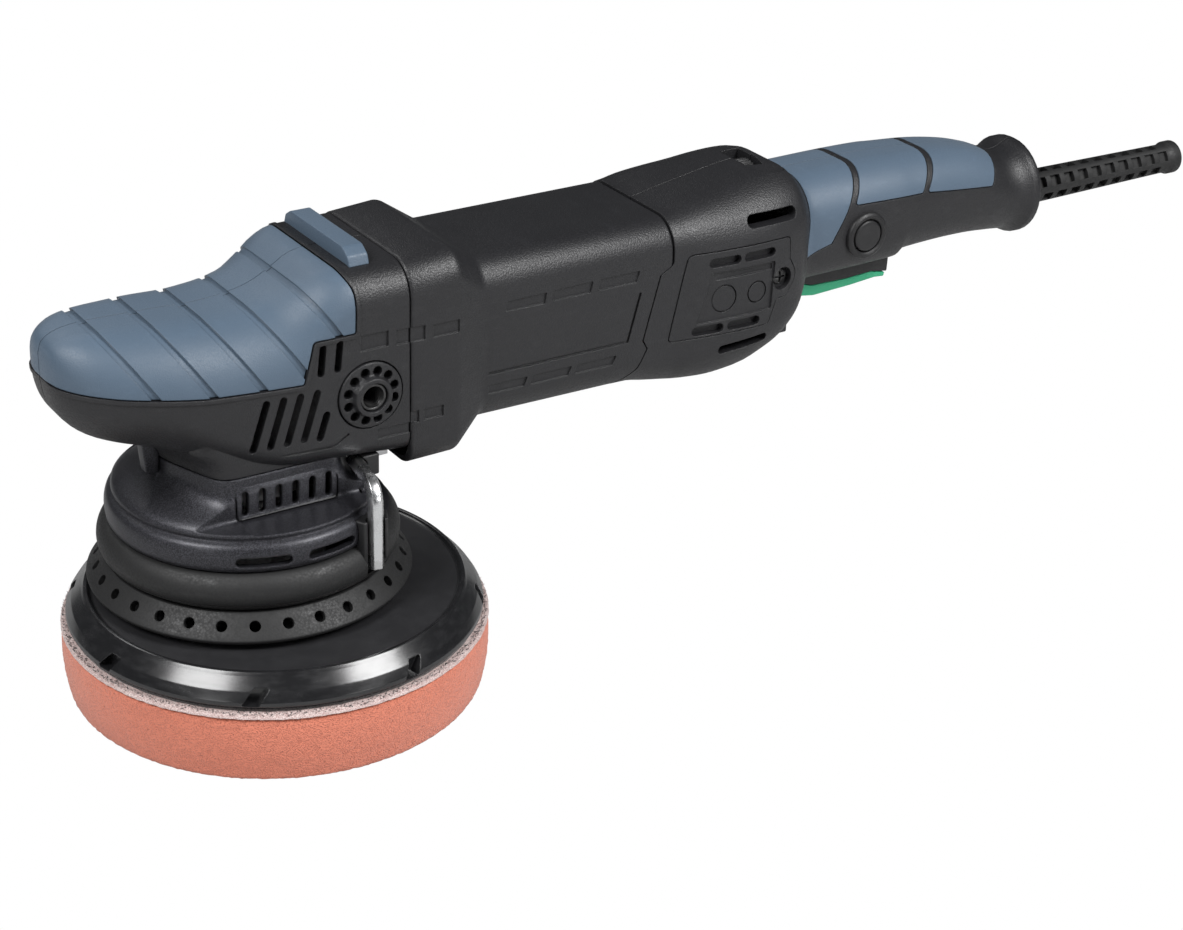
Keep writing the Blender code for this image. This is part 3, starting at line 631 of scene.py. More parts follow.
def apply(obj: bpy.types.Object, kind: str, **settings: object) -> bpy.types.Object:
    """Add a modifier and apply it.

    Args:
        obj: the object to change.
        kind: Blender's name for the modifier type.
        settings: the modifier's attributes.

    Returns:
        The same object.
    """
    modifier = obj.modifiers.new(kind.lower(), kind)
    for key, value in settings.items():
        setattr(modifier, key, value)
    pick(obj)
    bpy.ops.object.modifier_apply(modifier=modifier.name)
    return obj


def soften(obj: bpy.types.Object, width: float, segments: int = 3, angle: float = 30) -> bpy.types.Object:
    """Round an object's sharp edges.

    Args:
        obj: the object to change.
        width: width of the rounding, mm.
        segments: faces across the rounding.
        angle: edges that turn by more than this many degrees are rounded.

    Returns:
        The same object.
    """
    return apply(
        obj,
        "BEVEL",
        width=width * MM,
        segments=segments,
        limit_method="ANGLE",
        angle_limit=math.radians(angle),
        use_clamp_overlap=True,
    )


def united(*objects: bpy.types.Object) -> bpy.types.Object:
    """Join objects into one mesh without merging their solids.

    Args:
        objects: the objects to join.

    Returns:
        The first of them, which holds all.
    """
    if len(objects) > 1:
        pick(*objects)
        bpy.ops.object.join()
    return objects[0]


def carve(obj: bpy.types.Object, *tools: bpy.types.Object, how: Join = Join.CUT) -> bpy.types.Object:
    """Apply one Boolean with all tools and delete them.

    Args:
        obj: the object to change.
        tools: solids that lie clear of each other.
        how: whether they cut, are added, or keep what they cover.

    Returns:
        The same object.
    """
    tool = united(*tools)
    apply(obj, "BOOLEAN", operation=how.value, object=tool, solver="EXACT")
    bpy.data.objects.remove(tool, do_unlink=True)
    return obj


def twin(obj: bpy.types.Object, name: str) -> bpy.types.Object:
    """Copy an object with a mesh of its own.

    Args:
        obj: the object to copy.
        name: name of the copy.

    Returns:
        The copy.
    """
    pick(obj)
    bpy.ops.object.duplicate(linked=False)
    return adopt(name)


def span(side: int, inner: float, outer: float) -> tuple[float, ...]:
    """Return a range of Y on one side of the centre plane, lowest first, in mm."""
    return tuple(sorted((side * inner, side * outer)))


def rounded(outline: Sequence[Corner], radius: float = 0.0, steps: int = 4) -> list[Point2]:
    """Round the corners of a closed outline.

    Args:
        outline: corners as (a, b) or (a, b, radius of this corner).
        radius: radius of corners that give none.
        steps: pieces in each rounded corner.

    Returns:
        Points of the rounded outline.
    """
    points: list[Point2] = []
    count = len(outline)
    for i, corner in enumerate(outline):
        here = Vector(corner[:2])
        size = corner[2] if len(corner) > 2 else radius
        back = Vector(outline[i - 1][:2]) - here
        ahead = Vector(outline[(i + 1) % count][:2]) - here
        if size <= 0 or back.length < 1e-6 or ahead.length < 1e-6:
            points.append(tuple(here))
            continue
        half = max(back.angle(ahead) / 2, 0.05)
        reach = min(size / math.tan(half), 0.48 * back.length, 0.48 * ahead.length)
        start, end = here + back.normalized() * reach, here + ahead.normalized() * reach
        for k in range(steps + 1):
            t = k / steps
            spot = start * (1 - t) ** 2 + here * (2 * t * (1 - t)) + end * t**2
            points.append(tuple(spot))
    return points


def shifted(outline: Sequence[Corner], amount: float) -> list[Point2]:
    """Move every edge of a closed outline outwards.

    Args:
        outline: corners of the outline; a third value is ignored.
        amount: how far, in mm; below zero it moves inwards.

    Returns:
        Points of the new outline.
    """
    points = [Vector(corner[:2]) for corner in outline]
    following = points[1:] + points[:1]
    area = sum(a.x * b.y - b.x * a.y for a, b in zip(points, following))
    sign = math.copysign(1.0, area)
    moved = []
    for i, here in enumerate(points):
        edges = (here - points[i - 1], following[i] - here)
        normals = [Vector((edge.y, -edge.x)).normalized() * sign for edge in edges]
        middle = (normals[0] + normals[1]).normalized()
        moved.append(tuple(here + middle * amount / max(middle.dot(normals[0]), 0.35)))
    return moved


def stadium(centre: Point2, length: float, width: float, angle: float = 0.0) -> list[Point2]:
    """Draw a slot with round ends.

    Args:
        centre: middle of the slot.
        length: length over the round ends.
        width: width of the slot.
        angle: turn of its length from the first axis, degrees.

    Returns:
        Points of the outline.
    """
    points = []
    pieces = 8
    for side in (1, -1):
        for i in range(pieces + 1):
            turn = math.pi * (i / pieces - 0.5) + (0 if side > 0 else math.pi)
            along = side * (length - width) / 2 + width / 2 * math.cos(turn)
            points.append((along, width / 2 * math.sin(turn)))
    cos, sin = math.cos(math.radians(angle)), math.sin(math.radians(angle))
    return [(centre[0] + a * cos - b * sin, centre[1] + a * sin + b * cos) for a, b in points]


def block(name: str, low: Sequence[float], high: Sequence[float], rounding: float = 0.0) -> bpy.types.Object:
    """Add a cube primitive and size it to two opposite corners.

    Args:
        name: name of the piece.
        low: lowest corner, mm.
        high: highest corner, mm.
        rounding: rounding of its edges, mm.

    Returns:
        The closed solid.
    """
    middle = [(a + b) / 2 * MM for a, b in zip(low, high)]
    size = [abs(b - a) * MM for a, b in zip(low, high)]
    bpy.ops.mesh.primitive_cube_add(size=1.0)
    obj = adopt(name)
    with editing(obj):
        bpy.ops.transform.resize(value=size)
        bpy.ops.transform.translate(value=middle)
    return soften(obj, rounding) if rounding else obj


def prism(
    name: str, outline: Sequence[Point2], low: float, high: float, along: Axis = Axis.Y
) -> bpy.types.Object:
    """Push a flat outline straight through along an axis.

    Args:
        name: name of the piece.
        outline: points in the other two axes, in X, Y, Z order.
        low: where the push starts, mm.
        high: where it ends, mm.
        along: axis of the push.

    Returns:
        The closed solid.
    """
    bpy.ops.mesh.primitive_circle_add(vertices=len(outline), radius=MM, fill_type="NGON")
    obj = adopt(name)
    shift = [0.0, 0.0, 0.0]
    shift[along.value] = (high - low) * MM
    with editing(obj) as mesh:
        for vert, (a, b) in zip(mesh.verts, outline):
            spot = [a * MM, b * MM]
            spot.insert(along.value, low * MM)
            vert.co = spot
        bmesh.update_edit_mesh(obj.data)
        bpy.ops.mesh.extrude_region_move(TRANSFORM_OT_translate={"value": shift})
        tidy_mesh()
    return obj


def lathe(
    name: str,
    profile: Sequence[Corner],
    steps: int = 96,
    base: Sequence[float] = (0.0, 0.0, 0.0),
    along: Axis = Axis.Z,
    side: int = 1,
    rounding: float = 0.0,
) -> bpy.types.Object:
    """Spin a closed outline about an axis.

    Args:
        name: name of the piece.
        profile: closed outline as (radius, height) or (radius, height, corner rounding).
        steps: sides of the turned piece.
        base: point where height is zero.
        along: axis of the piece.
        side: 1 or -1, the way that height runs.
        rounding: rounding of corners that give none.

    Returns:
        The closed solid.
    """
    outline = rounded(profile, rounding, 3)
    bpy.ops.mesh.primitive_circle_add(vertices=len(outline), radius=MM)
    obj = adopt(name)
    with editing(obj) as mesh:
        for vert, (radius, height) in zip(mesh.verts, outline):
            vert.co = (radius * MM, 0.0, height * MM)
        bmesh.update_edit_mesh(obj.data)
        bpy.ops.mesh.spin(steps=steps, angle=2 * math.pi, center=(0, 0, 0), axis=(0, 0, 1))
        tidy_mesh()
    direction = Vector((0, 0, 0))
    direction[along.value] = side
    turn = direction.to_track_quat("Z", "Y").to_matrix().to_4x4()
    obj.data.transform(Matrix.Translation(Vector(base) * MM) @ turn)
    return obj


def rod(
    name: str,
    radius: float,
    base: Sequence[float],
    length: float,
    along: Axis = Axis.Z,
    side: int = 1,
    steps: int = 40,
) -> bpy.types.Object:
    """Turn a plain round bar, for a cutter."""
    return lathe(name, [(0, 0), (radius, 0), (radius, length), (0, length)], steps, base, along, side)


def loft(name: str, rings: Sequence[Sequence[Sequence[float]]]) -> bpy.types.Object:
    """Wrap a grid primitive through rings of equal point count and close its ends.

    Args:
        name: name of the piece.
        rings: rings of points, in mm.

    Returns:
        The closed solid.
    """
    count, rows = len(rings[0]), len(rings)
    bpy.ops.mesh.primitive_grid_add(x_subdivisions=count, y_subdivisions=rows - 1, size=1.0)
    obj = adopt(name)
    wrapped = [[*ring, ring[0]] for ring in rings]
    places = np.array(wrapped, dtype=np.float64).reshape(-1) * MM
    obj.data.vertices.foreach_set("co", places)
    with editing(obj):
        bpy.ops.mesh.remove_doubles(threshold=WELD)
        bpy.ops.mesh.fill_holes(sides=0)
        tidy_mesh()
    return obj


def monotone(knots: np.ndarray, values: np.ndarray, targets: np.ndarray) -> np.ndarray:
    """Read a smooth curve through the knots that never overshoots them.

    Args:
        knots: rising places of the known values.
        values: the known values.
        targets: places to read.

    Returns:
        The values at the targets.
    """
    gaps = np.diff(knots)
    slopes = np.diff(values) / gaps
    tangents = np.zeros_like(values)
    tangents[0], tangents[-1] = slopes[0], slopes[-1]
    for i in range(1, len(knots) - 1):
        before, after = slopes[i - 1], slopes[i]
        if before * after > 0:
            first, second = 2 * gaps[i] + gaps[i - 1], gaps[i] + 2 * gaps[i - 1]
            tangents[i] = (first + second) / (first / before + second / after)
    k = np.clip(np.searchsorted(knots, targets, side="right") - 1, 0, len(gaps) - 1)
    t = (targets - knots[k]) / gaps[k]
    return (
        (2 * t**3 - 3 * t**2 + 1) * values[k]
        + (t**3 - 2 * t**2 + t) * gaps[k] * tangents[k]
        + (3 * t**2 - 2 * t**3) * values[k + 1]
        + (t**3 - t**2) * gaps[k] * tangents[k + 1]
    )


def densified(table: np.ndarray, measured: int, step: float, least: int) -> np.ndarray:
    """Put smooth rows between the rows of a table.

    Args:
        table: the known rows.
        measured: how many of the first columns measure the distance between rows.
        step: distance between new rows.
        least: fewest pieces between two known rows.

    Returns:
        The denser table.
    """
    moves = np.linalg.norm(np.diff(table[:, :measured], axis=0), axis=1)
    knots = np.concatenate([[0.0], np.cumsum(moves)])
    targets = [0.0]
    for start, end in zip(knots, knots[1:]):
        pieces = max(least, round((end - start) / step))
        targets += [start + (end - start) * (i + 1) / pieces for i in range(pieces)]
    columns = [monotone(knots, column, np.array(targets)) for column in table.T]
    return np.array(columns).T


def present(
    obj: bpy.types.Object,
    body: Body,
    slot: str,
    finish: Finish,
    *nodes: str,
    crease: float = 32.0,
) -> bpy.types.Object:
    """Finish a piece: smooth it, paint it, and tie it to the working model.

    Args:
        obj: the modelled piece.
        body: rigid body that it moves with.
        slot: material slot of the record; not used.
        finish: finish that it gets.
        nodes: working-model nodes that it stands for.
        crease: edges sharper than this many degrees stay sharp.

    Returns:
        The same piece.
    """
    pick(obj)
    bpy.ops.object.shade_smooth_by_angle(angle=math.radians(crease))
    obj.data.materials.clear()
    obj.data.materials.append(PAINTS.material(finish))
    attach(obj, body.value)
    if nodes:
        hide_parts(*nodes)
    log.info("%s rides on %s, %d faces", obj.name, body.value, len(obj.data.polygons))
    return obj


# ------------------------------------------------------------------ casings


@dataclass(frozen=True)
class Station:
    """Cross-section of a casing: a rounded rectangle at one place along X, in mm."""

    x: float
    half_width: float
    top: float
    bottom: float
    top_round: float
    bottom_round: float

    def ring(self, arc: int) -> list[tuple[float, float, float]]:
        """Draw the section.

        Args:
            arc: pieces in each corner.

        Returns:
            Points of the section.
        """
        points = []
        for side, upper, start in ((1, 1, 0), (-1, 1, 90), (-1, -1, 180), (1, -1, 270)):
            radius = self.top_round if upper > 0 else self.bottom_round
            y = side * (self.half_width - radius)
            z = self.top - radius if upper > 0 else self.bottom + radius
            for i in range(arc + 1):
                turn = math.radians(start + 90 * i / arc)
                points.append((self.x, y + radius * math.cos(turn), z + radius * math.sin(turn)))
        return points


@dataclass(frozen=True)
class Casing:
    """A hollow moulding that follows a row of stations.

    Attributes:
        stations: sections from front to rear.
        nose: (tip, end of the rounding) of a closed front, or None.
        smooth: True to curve between stations, False to run straight.
        arc: pieces in each corner.
        step: distance between rings, mm.
    """

    stations: Sequence[Station]
    nose: Point2 | None = None
    smooth: bool = True
    arc: int = 9
    step: float = 3.0

    def sections(self) -> list[Station]:
        """Lay out the sections.

        Returns:
            The stations, with smooth ones between them where asked.
        """
        if not self.smooth:
            return list(self.stations)
        table = np.array([tuple(vars(station).values()) for station in self.stations])
        return [Station(*row) for row in densified(table, 4, self.step, 2)]

    def shrunk(self, section: Station, amount: float) -> Station:
        """Move a section inwards.

        Args:
            section: the outer section.
            amount: how far, in mm.

        Returns:
            The smaller section; near a closed nose it also moves back.
        """
        middle = (section.top + section.bottom) / 2
        half = max((section.top - section.bottom) / 2 - amount, 2.0)
        width = max(section.half_width - amount, 2.0)
        x = section.x
        if self.nose:
            tip, end = self.nose
            x += amount * min(max((end - x) / (end - tip), 0.0), 1.0) ** 3
        most = min(width, half) * 0.98
        radii = [min(max(r - amount, 0.8), most) for r in (section.top_round, section.bottom_round)]
        return Station(x, width, middle + half, middle - half, *radii)

    def solid(self, name: str, inset: float = 0.0, reach: float = 0.0) -> bpy.types.Object:
        """Build a solid of the casing's outer form.

        Args:
            name: name of the solid.
            inset: how far inside the outer surface it lies, mm.
            reach: how far it runs past open ends, mm.

        Returns:
            The closed solid.
        """
        rings = [self.shrunk(section, inset).ring(self.arc) for section in self.sections()]
        if reach:
            if not self.nose:
                rings.insert(0, [(x - reach, y, z) for x, y, z in rings[0]])
            rings.append([(x + reach, y, z) for x, y, z in rings[-1]])
        return loft(name, rings)

    def skin(self, name: str, inner: float, outer: float = 0.0) -> bpy.types.Object:
        """Build the layer between two depths under the outer surface."""
        layer = self.solid(name, outer)
        return carve(layer, self.solid("core", inner, 6.0))


def halves(obj: bpy.types.Object, name: str) -> list[bpy.types.Object]:
    """Split a moulding at the centre plane.

    Args:
        obj: the moulding, which is used up.
        name: name of the pieces, without their side.

    Returns:
        The left and right pieces.
    """
    pieces = []
    for suffix, side in SIDES:
        half = twin(obj, f"{name}_{suffix}")
        low, high = span(side, SEAM / 2, 95.0)
        carve(half, block("half", (-120, low, 20), (460, high, 220)), how=Join.KEEP)
        pieces.append(half)
    bpy.data.objects.remove(obj, do_unlink=True)
    return pieces


# ------------------------------------------------------------------ pad and plate


@dataclass
class PadStack:
    """Foam pad, loop layer and backing plate on their own axis."""

    orbit: float = 10.5
    orbit_angle: float = -60.0
    pad_radius: float = 75.0
    plate_radius: float = 73.1
    deck_radius: float = 63.6
    notches: int = 8
    first_notch: float = 13.5
    tufts: int = 1500
    centre: Point2 = field(init=False)

    def __post_init__(self) -> None:
        """Work out the pad's axis."""
        turn = math.radians(self.orbit_angle)
        self.centre = (self.orbit * math.cos(turn), self.orbit * math.sin(turn))

    def base(self, height: float = 0.0) -> tuple[float, float, float]:
        """Return the point of the pad's axis at a height."""
        return (*self.centre, height)

    def foam(self) -> None:
        """Model the foam disc: a bulging side with a worn lower edge and open pores."""
        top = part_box("foam_pad")[1].z / MM
        rows = 24
        side = []
        for i in range(rows + 1):
            share = i / rows
            bulge = 1.1 * math.sin(math.pi * share) ** 0.8
            side.append((72.9 + 1.4 * share + bulge, 1.3 + (top - 1.9) * share))
        lower = [(0, 0), (40, 0), (66, 0), (70.4, 0.1), (72.1, 0.5)]
        upper = [(self.pad_radius - 1.0, top), (60, top), (0, top)]
        pad = lathe("polishing_foam", [*lower, *side, *upper], 400, self.base())
        cells = bpy.data.textures.new("foam_cells", "VORONOI")
        cells.noise_scale = 0.0016
        cells.noise_intensity = 1.0
        group = pad.vertex_groups.new(name="side")
        rim = [v.index for v in pad.data.vertices if math.hypot(v.co.x, v.co.y) > 0 and 0.0004 < v.co.z]
        group.add(rim, 1.0, "REPLACE")
        settings = {"texture_coords": "LOCAL", "mid_level": 0.55, "strength": 0.0005}
        apply(pad, "DISPLACE", texture=cells, vertex_group="side", **settings)
        present(pad, Body.PAD, "foam_orange", Paintbox.FOAM, "foam_pad", crease=80)

    def loop(self) -> None:
        """Model the loop layer with its fuzzy edge."""
        low, high = (corner.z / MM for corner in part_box("loop_layer"))
        outer = self.pad_radius - 0.1
        edge = [(outer - 1, low), (outer, low + 0.4), (outer - 0.1, low + 0.9), (outer - 1.4, high)]
        profile = [(0, low), *edge, (0, high)]
        layer = lathe("loop_edge", profile, 360, self.base())
        wobble = bpy.data.textures.new("fleece_wobble", "CLOUDS")
        wobble.noise_scale = 0.0022
        apply(layer, "DISPLACE", texture=wobble, texture_coords="LOCAL", mid_level=0.5, strength=0.0006)
        present(layer, Body.PAD, "loop_white", Paintbox.LOOP, "loop_layer", crease=60)

    def fuzz(self) -> None:
        """Scatter the short fibres that stand out between loop layer and plate."""
        draw = random.Random(7)
        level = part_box("loop_layer")[1].z / MM
        bpy.ops.mesh.primitive_cone_add(vertices=4, radius1=0.20 * MM, radius2=0.04 * MM, depth=1.1 * MM)
        seed = adopt("loop_fuzz")
        with editing(seed, everything=False) as mesh:
            for vert in mesh.verts:
                vert.select_set(vert.co.z > 0)
            bmesh.update_edit_mesh(seed.data)
            bpy.ops.transform.translate(value=(0.35 * MM, 0, 0))
        clumps: dict[Finish, list[bpy.types.Object]] = {Paintbox.LOOP: [seed], Paintbox.HOOK: []}
        shape = seed.data.copy()
        for i in range(self.tufts):
            around = 2 * math.pi * (i + draw.random() * 0.8) / self.tufts
            reach = draw.uniform(72.6, 74.4)
            height = level + draw.uniform(-0.1, 0.5)
            spot = Vector((reach * math.cos(around), reach * math.sin(around), height))
            lean = Matrix.Rotation(around, 4, "Z") @ Matrix.Rotation(draw.uniform(0.2, 1.5), 4, "Y")
            turn = lean @ Matrix.Rotation(draw.uniform(0, 6.28), 4, "Z")
            mesh = shape.copy() if i else seed.data
            mesh.transform(Matrix.Translation((spot + Vector(self.base())) * MM) @ turn)
            if i:
                tuft = bpy.data.objects.new("tuft", mesh)
                bpy.context.scene.collection.objects.link(tuft)
                clumps[draw.choice((Paintbox.LOOP, Paintbox.HOOK))].append(tuft)
        for finish, tufts in clumps.items():
            fuzz = united(*tufts)
            fuzz.name = f"fuzz_{finish.name}"
            present(fuzz, Body.PAD, "loop_white", finish, crease=80)

    def plate(self) -> None:
        """Model the backing plate: deck, rolled lip, glossy flank and rim notches."""
        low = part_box("backing_plate")[0].z / MM
        rim = self.plate_radius
        profile = [
            (12.3, low, 0.2),
            (rim - 1.4, low, 0.6),
            (rim, low + 0.9, 0.7),
            (rim - 0.3, low + 2.4, 0.8),
            (70.9, low + 5.4, 3.0),
            (67.2, low + 9.2, 1.4),
            (66.3, low + 10.3, 0.5),
            (65.2, low + 10.4, 0.4),
            (64.6, low + 9.7, 0.3),
            (self.deck_radius, low + 9.0, 0.4),
            (40.0, low + 9.0, 0.2),
            (39.4, low + 8.6, 0.2),
            (24.4, low + 8.6, 0.2),
            (12.3, low + 8.6, 0.2),
        ]
        plate = lathe("pad_plate", profile, 240, self.base())
        cutters = []
        for i in range(self.notches):
            turn = math.radians(self.first_notch + 360 * i / self.notches)
            outline = [(-5.2, low + 1.0), (0.8, low + 1.0), (4.4, low + 6.4), (-0.8, low + 6.4)]
            cutter = prism("notch", rounded(outline, 0.6), 68.6, 80.0, Axis.X)
            place = Matrix.Translation(Vector(self.base()) * MM)
            cutter.data.transform(place @ Matrix.Rotation(turn, 4, "Z"))
            cutters.append(cutter)
        carve(plate, *cutters)
        finish = GlossyPlate("glossy_plate", self.centre, self.deck_radius + 0.5)
        present(plate, Body.PAD, "plate_black", finish, "backing_plate")

    def build(self) -> None:
        """Make every visible piece of the pad."""
        self.foam()
        self.loop()
        self.fuzz()
        self.plate()


# ------------------------------------------------------------------ skirt, boot and key


@dataclass
class Skirt:
    """Metal skirt with its neck, the rubber boot, the vent ring and the key.

    Attributes:
        neck_width: half width of the neck, mm.
        front: the neck's front faces as (X, Y of the outward direction, distance).
        front_power: sharpness of the corners between them.
        front_reach: how far the neck reaches forward, mm.
        rear: (half length, power) of the neck's round rear.
        wall: thickness of the metal, mm.
        around: points in a plan ring.
        key_place: X and Y of the key's long arm, mm.
        key_aim: direction of its short arm.
        key_radius: radius of the key over its corners, mm.
        key_bottom: height of the long arm's end, mm.
        key_arm: height of the short arm, mm.
        seam: height where skirt and casing meet, mm.
        shape: rows of (height, radius, share of the neck's plan).
    """

    neck_width: float = 30.5
    front: Sequence[tuple[float, float, float]] = (
        (0, 1, 30.5),
        (-0.937, 0.349, 32.6),
        (-0.937, -0.349, 32.6),
    )
    front_power: float = 14.0
    front_reach: float = 33.0
    rear: Point2 = (24.2, 7.0)
    wall: float = 2.4
    around: int = 180
    key_place: Point2 = (24.5, -47.6)
    key_aim: tuple[float, float, float] = (3.5, 21.0, 0.0)
    key_radius: float = 2.9
    key_bottom: float = 54.2
    key_arm: float = 84.7
    seam: float = 90.4
    shape: Sequence[tuple[float, float, float]] = (
        (62.3, 47.6, 0.0),
        (62.9, 48.5, 0.0),
        (64.2, 49.1, 0.0),
        (68.0, 49.4, 0.0),
        (71.2, 48.8, 0.0),
        (72.5, 47.6, 0.0),
        (73.1, 46.4, 0.0),
        (73.8, 46.4, 0.0),
        (74.5, 46.9, 0.0),
        (75.6, 46.7, 0.0),
        (77.4, 45.4, 0.05),
        (79.5, 42.8, 0.20),
        (82.0, 40.0, 0.50),
        (85.0, 37.5, 0.85),
        (88.0, 36.0, 1.0),
        (99.0, 36.0, 1.0),
    )

    def ring(self, z: float, radius: float, blend: float, inset: float) -> list[tuple[float, ...]]:
        """Draw a plan ring between a circle and the neck.

        Args:
            z: height of the ring, mm.
            radius: radius of the circle, mm.
            blend: 0 for the circle, 1 for the neck.
            inset: how far inwards it is moved, mm.

        Returns:
            Points of the ring.
        """
        points = []
        for i in range(self.around):
            turn = 2 * math.pi * i / self.around
            cos, sin = math.cos(turn), math.sin(turn)
            if cos > 0:
                length, power = self.rear
                total = (cos / length) ** power + (abs(sin) / self.neck_width) ** power
            else:
                power = self.front_power
                total = sum((max(cos * x + abs(sin) * y, 0.0) / d) ** power for x, y, d in self.front)
            reach = radius * (1 - blend) + total ** (-1 / power) * blend - inset
            points.append((reach * cos, reach * sin, z))
        return points

    def plan(self, z: float, growth: float = 0.0) -> list[tuple[float, ...]]:
        """Return the neck's plan at a height, grown by growth mm."""
        return self.ring(z, 0.0, 1.0, -growth)

    def rows(self) -> list[tuple[float, ...]]:
        """Return the skirt's rows, with smooth ones between them."""
        return [tuple(row) for row in densified(np.array(self.shape), 2, 1.0, 1)]

    def chin(self) -> bpy.types.Object:
        """Build the casing's chin: the neck's plan, drawn forward as it rises.

        Returns:
            The closed solid.
        """
        levels = [(0.5, 0.1), (0.9, 0.3), (2.5, 0.8), (4.5, 1.8), (6.5, 3.4), (8.5, 5.6)]
        levels += [(11.0, 8.0), (16.5, 9.2)]
        rings = []
        for rise, forward in levels:
            stretch = 1 + forward / self.front_reach
            ring = self.plan(self.seam + rise)
            rings.append([(x * stretch if x < 0 else x, y, z) for x, y, z in ring])
        return loft("chin", rings)

    def neck(self, name: str, levels: Sequence[Point2]) -> bpy.types.Object:
        """Build a plug on the neck's plan from (height, growth) pairs, in mm."""
        return loft(name, [self.plan(z, growth) for z, growth in levels])

    def solid(self, name: str, inset: float, drop: float = 0.0) -> bpy.types.Object:
        """Build the skirt's outer form, moved inwards by inset and down by drop mm."""
        return loft(name, [self.ring(z - drop, size, blend, inset) for z, size, blend in self.rows()])

    def flats(self, margin: float) -> list[bpy.types.Object]:
        """Build the cutters that flatten the neck's rear and its sides above a shelf.

        Args:
            margin: how much larger they are all round, mm.

        Returns:
            The cutters.
        """
        shelf, rear = 75.6 - margin, 30.0 - margin
        blocks = [block("rear_flat", (rear, -60, 63.6 - margin), (60, 60, 104))]
        for _, side in SIDES:
            low, high = span(side, 31.3 - margin, 60)
            blocks.append(block("flat", (-50, low, shelf), (rear - 1.0, high, 104)))
        return blocks

    def groove(self) -> bpy.types.Object:
        """Build the cutter that leaves room beside the key's long arm."""
        return rod("key_room", self.key_radius + 0.5, (*self.key_place, self.key_bottom - 2.0), 42.0)

    def skirt(self) -> None:
        """Model the skirt: bead, band slots, framed neck slots and front rib."""
        skirt = self.solid("gear_skirt", 0.0)
        shoulder = self.neck("shoulder", [(self.seam, 9.0), (110.0, 9.0)])
        carve(skirt, carve(shoulder, self.neck("spigot", [(80.0, -1.8), (115.0, -1.8)])))
        room = self.solid("room", self.wall + 0.6, 1.2)
        for flat in self.flats(2.2):
            carve(room, flat)
        carve(skirt, room)
        for flat in self.flats(0.0):
            carve(skirt, soften(flat, 1.4))
        slots = []
        frame_line = rounded([(-18.6, 75.9), (18.4, 75.9), (18.4, 86.9), (-18.6, 86.9)], 1.4)
        for _, side in SIDES:
            low, high = span(side, 30.4, 60.0)
            border = prism("border", shifted(frame_line, 0.7), low, high)
            inner_low, inner_high = span(side, 29.0, 62.0)
            slots.append(carve(border, prism("inner", frame_line, inner_low, inner_high)))
        for side in (-1, 1):
            for i in range(6):
                low, high = span(side, 22.0, 41.0)
                slots.append(prism("slot", stadium((-15.6 + 6.2 * i, 81.2), 8.8, 2.6, 88), low, high))
            for turn in (109.5, 80.5):
                slot = prism("band_slot", stadium((0, 66.6), 19.0, 3.6), 40.0, 56.0)
                slot.data.transform(Matrix.Rotation(math.radians(side * turn - 90), 4, "Z"))
                slots.append(slot)
        carve(skirt, *slots)
        carve(skirt, self.groove())
        outline = rounded([(-39.4, 97.6), (-38.2, 85.6), (-34.0, 83.0), (-33.0, 97.6)], 0.6)
        rib = prism("rib", outline, -2.4, 2.4)
        carve(skirt, soften(rib, 0.4), how=Join.ADD)
        present(skirt, Body.HOUSING, "skirt_metal", Paintbox.SKIRT, "skirt", crease=40)

    def boot(self) -> None:
        """Model the rubber boot: one fat roll with two fine lines."""
        profile = [(47.2, 48.9, 0.4)]
        for i in range(15):
            turn = math.radians(-62 + 128 * i / 14)
            profile.append((46.2 + 6.5 * math.cos(turn), 55.4 + 7.2 * math.sin(turn)))
        profile += [(46.0, 62.2, 0.5), (45.0, 61.8, 0.3), (47.0, 56.0, 1.0)]
        boot = lathe("rubber_roll", profile, 200)
        lines = [
            lathe("line", [(49.6, z), (56, z), (56, z + 0.35), (49.6, z + 0.35)], 200) for z in (49.7, 51.2)
        ]
        under = [(radius - 0.35, z) for radius, z in rounded(profile)[3:18]]
        shell = lathe("line_depth", [(0, 47), *under, (0, 63)], 200)
        grooves = [carve(line, twin(shell, "core")) for line in lines]
        bpy.data.objects.remove(shell, do_unlink=True)
        carve(boot, *grooves)
        carve(boot, self.groove())
        present(boot, Body.HOUSING, "black_rubber", Paintbox.RUBBER, "rubber_boot", crease=50)

    def vent_ring(self) -> None:
        """Model the dust ring: a sloping shelf with a rolled lip and a row of holes."""
        profile = [
            (53.2, 39.7, 0.3),
            (56.4, 39.7, 0.6),
            (57.0, 41.0, 0.7),
            (55.9, 42.3, 0.8),
            (51.2, 47.6, 1.2),
            (50.2, 48.6, 0.3),
            (47.8, 48.6, 0.3),
            (47.8, 47.6, 0.5),
            (53.2, 41.2, 0.5),
        ]
        ring = lathe("dust_ring", profile, 240)
        slope = math.atan2(7.3, 5.9)
        holes = []
        for i in range(30):
            hole = rod("hole", 1.95, (0, 0, -5), 12.0, steps=20)
            place = Matrix.Translation(Vector((53.5, 0, 45.0)) * MM) @ Matrix.Rotation(slope, 4, "Y")
            hole.data.transform(Matrix.Rotation(math.radians(12 * i + 6), 4, "Z") @ place)
            holes.append(hole)
        carve(ring, *holes)
        present(ring, Body.HOUSING, "black_rubber", Paintbox.RUBBER, "vent_ring", crease=40)

    def key_bend(self) -> tuple[Vector, Vector]:
        """Return the key's corner and the direction of its short arm."""
        return Vector((*self.key_place, self.key_arm)), Vector(self.key_aim).normalized()

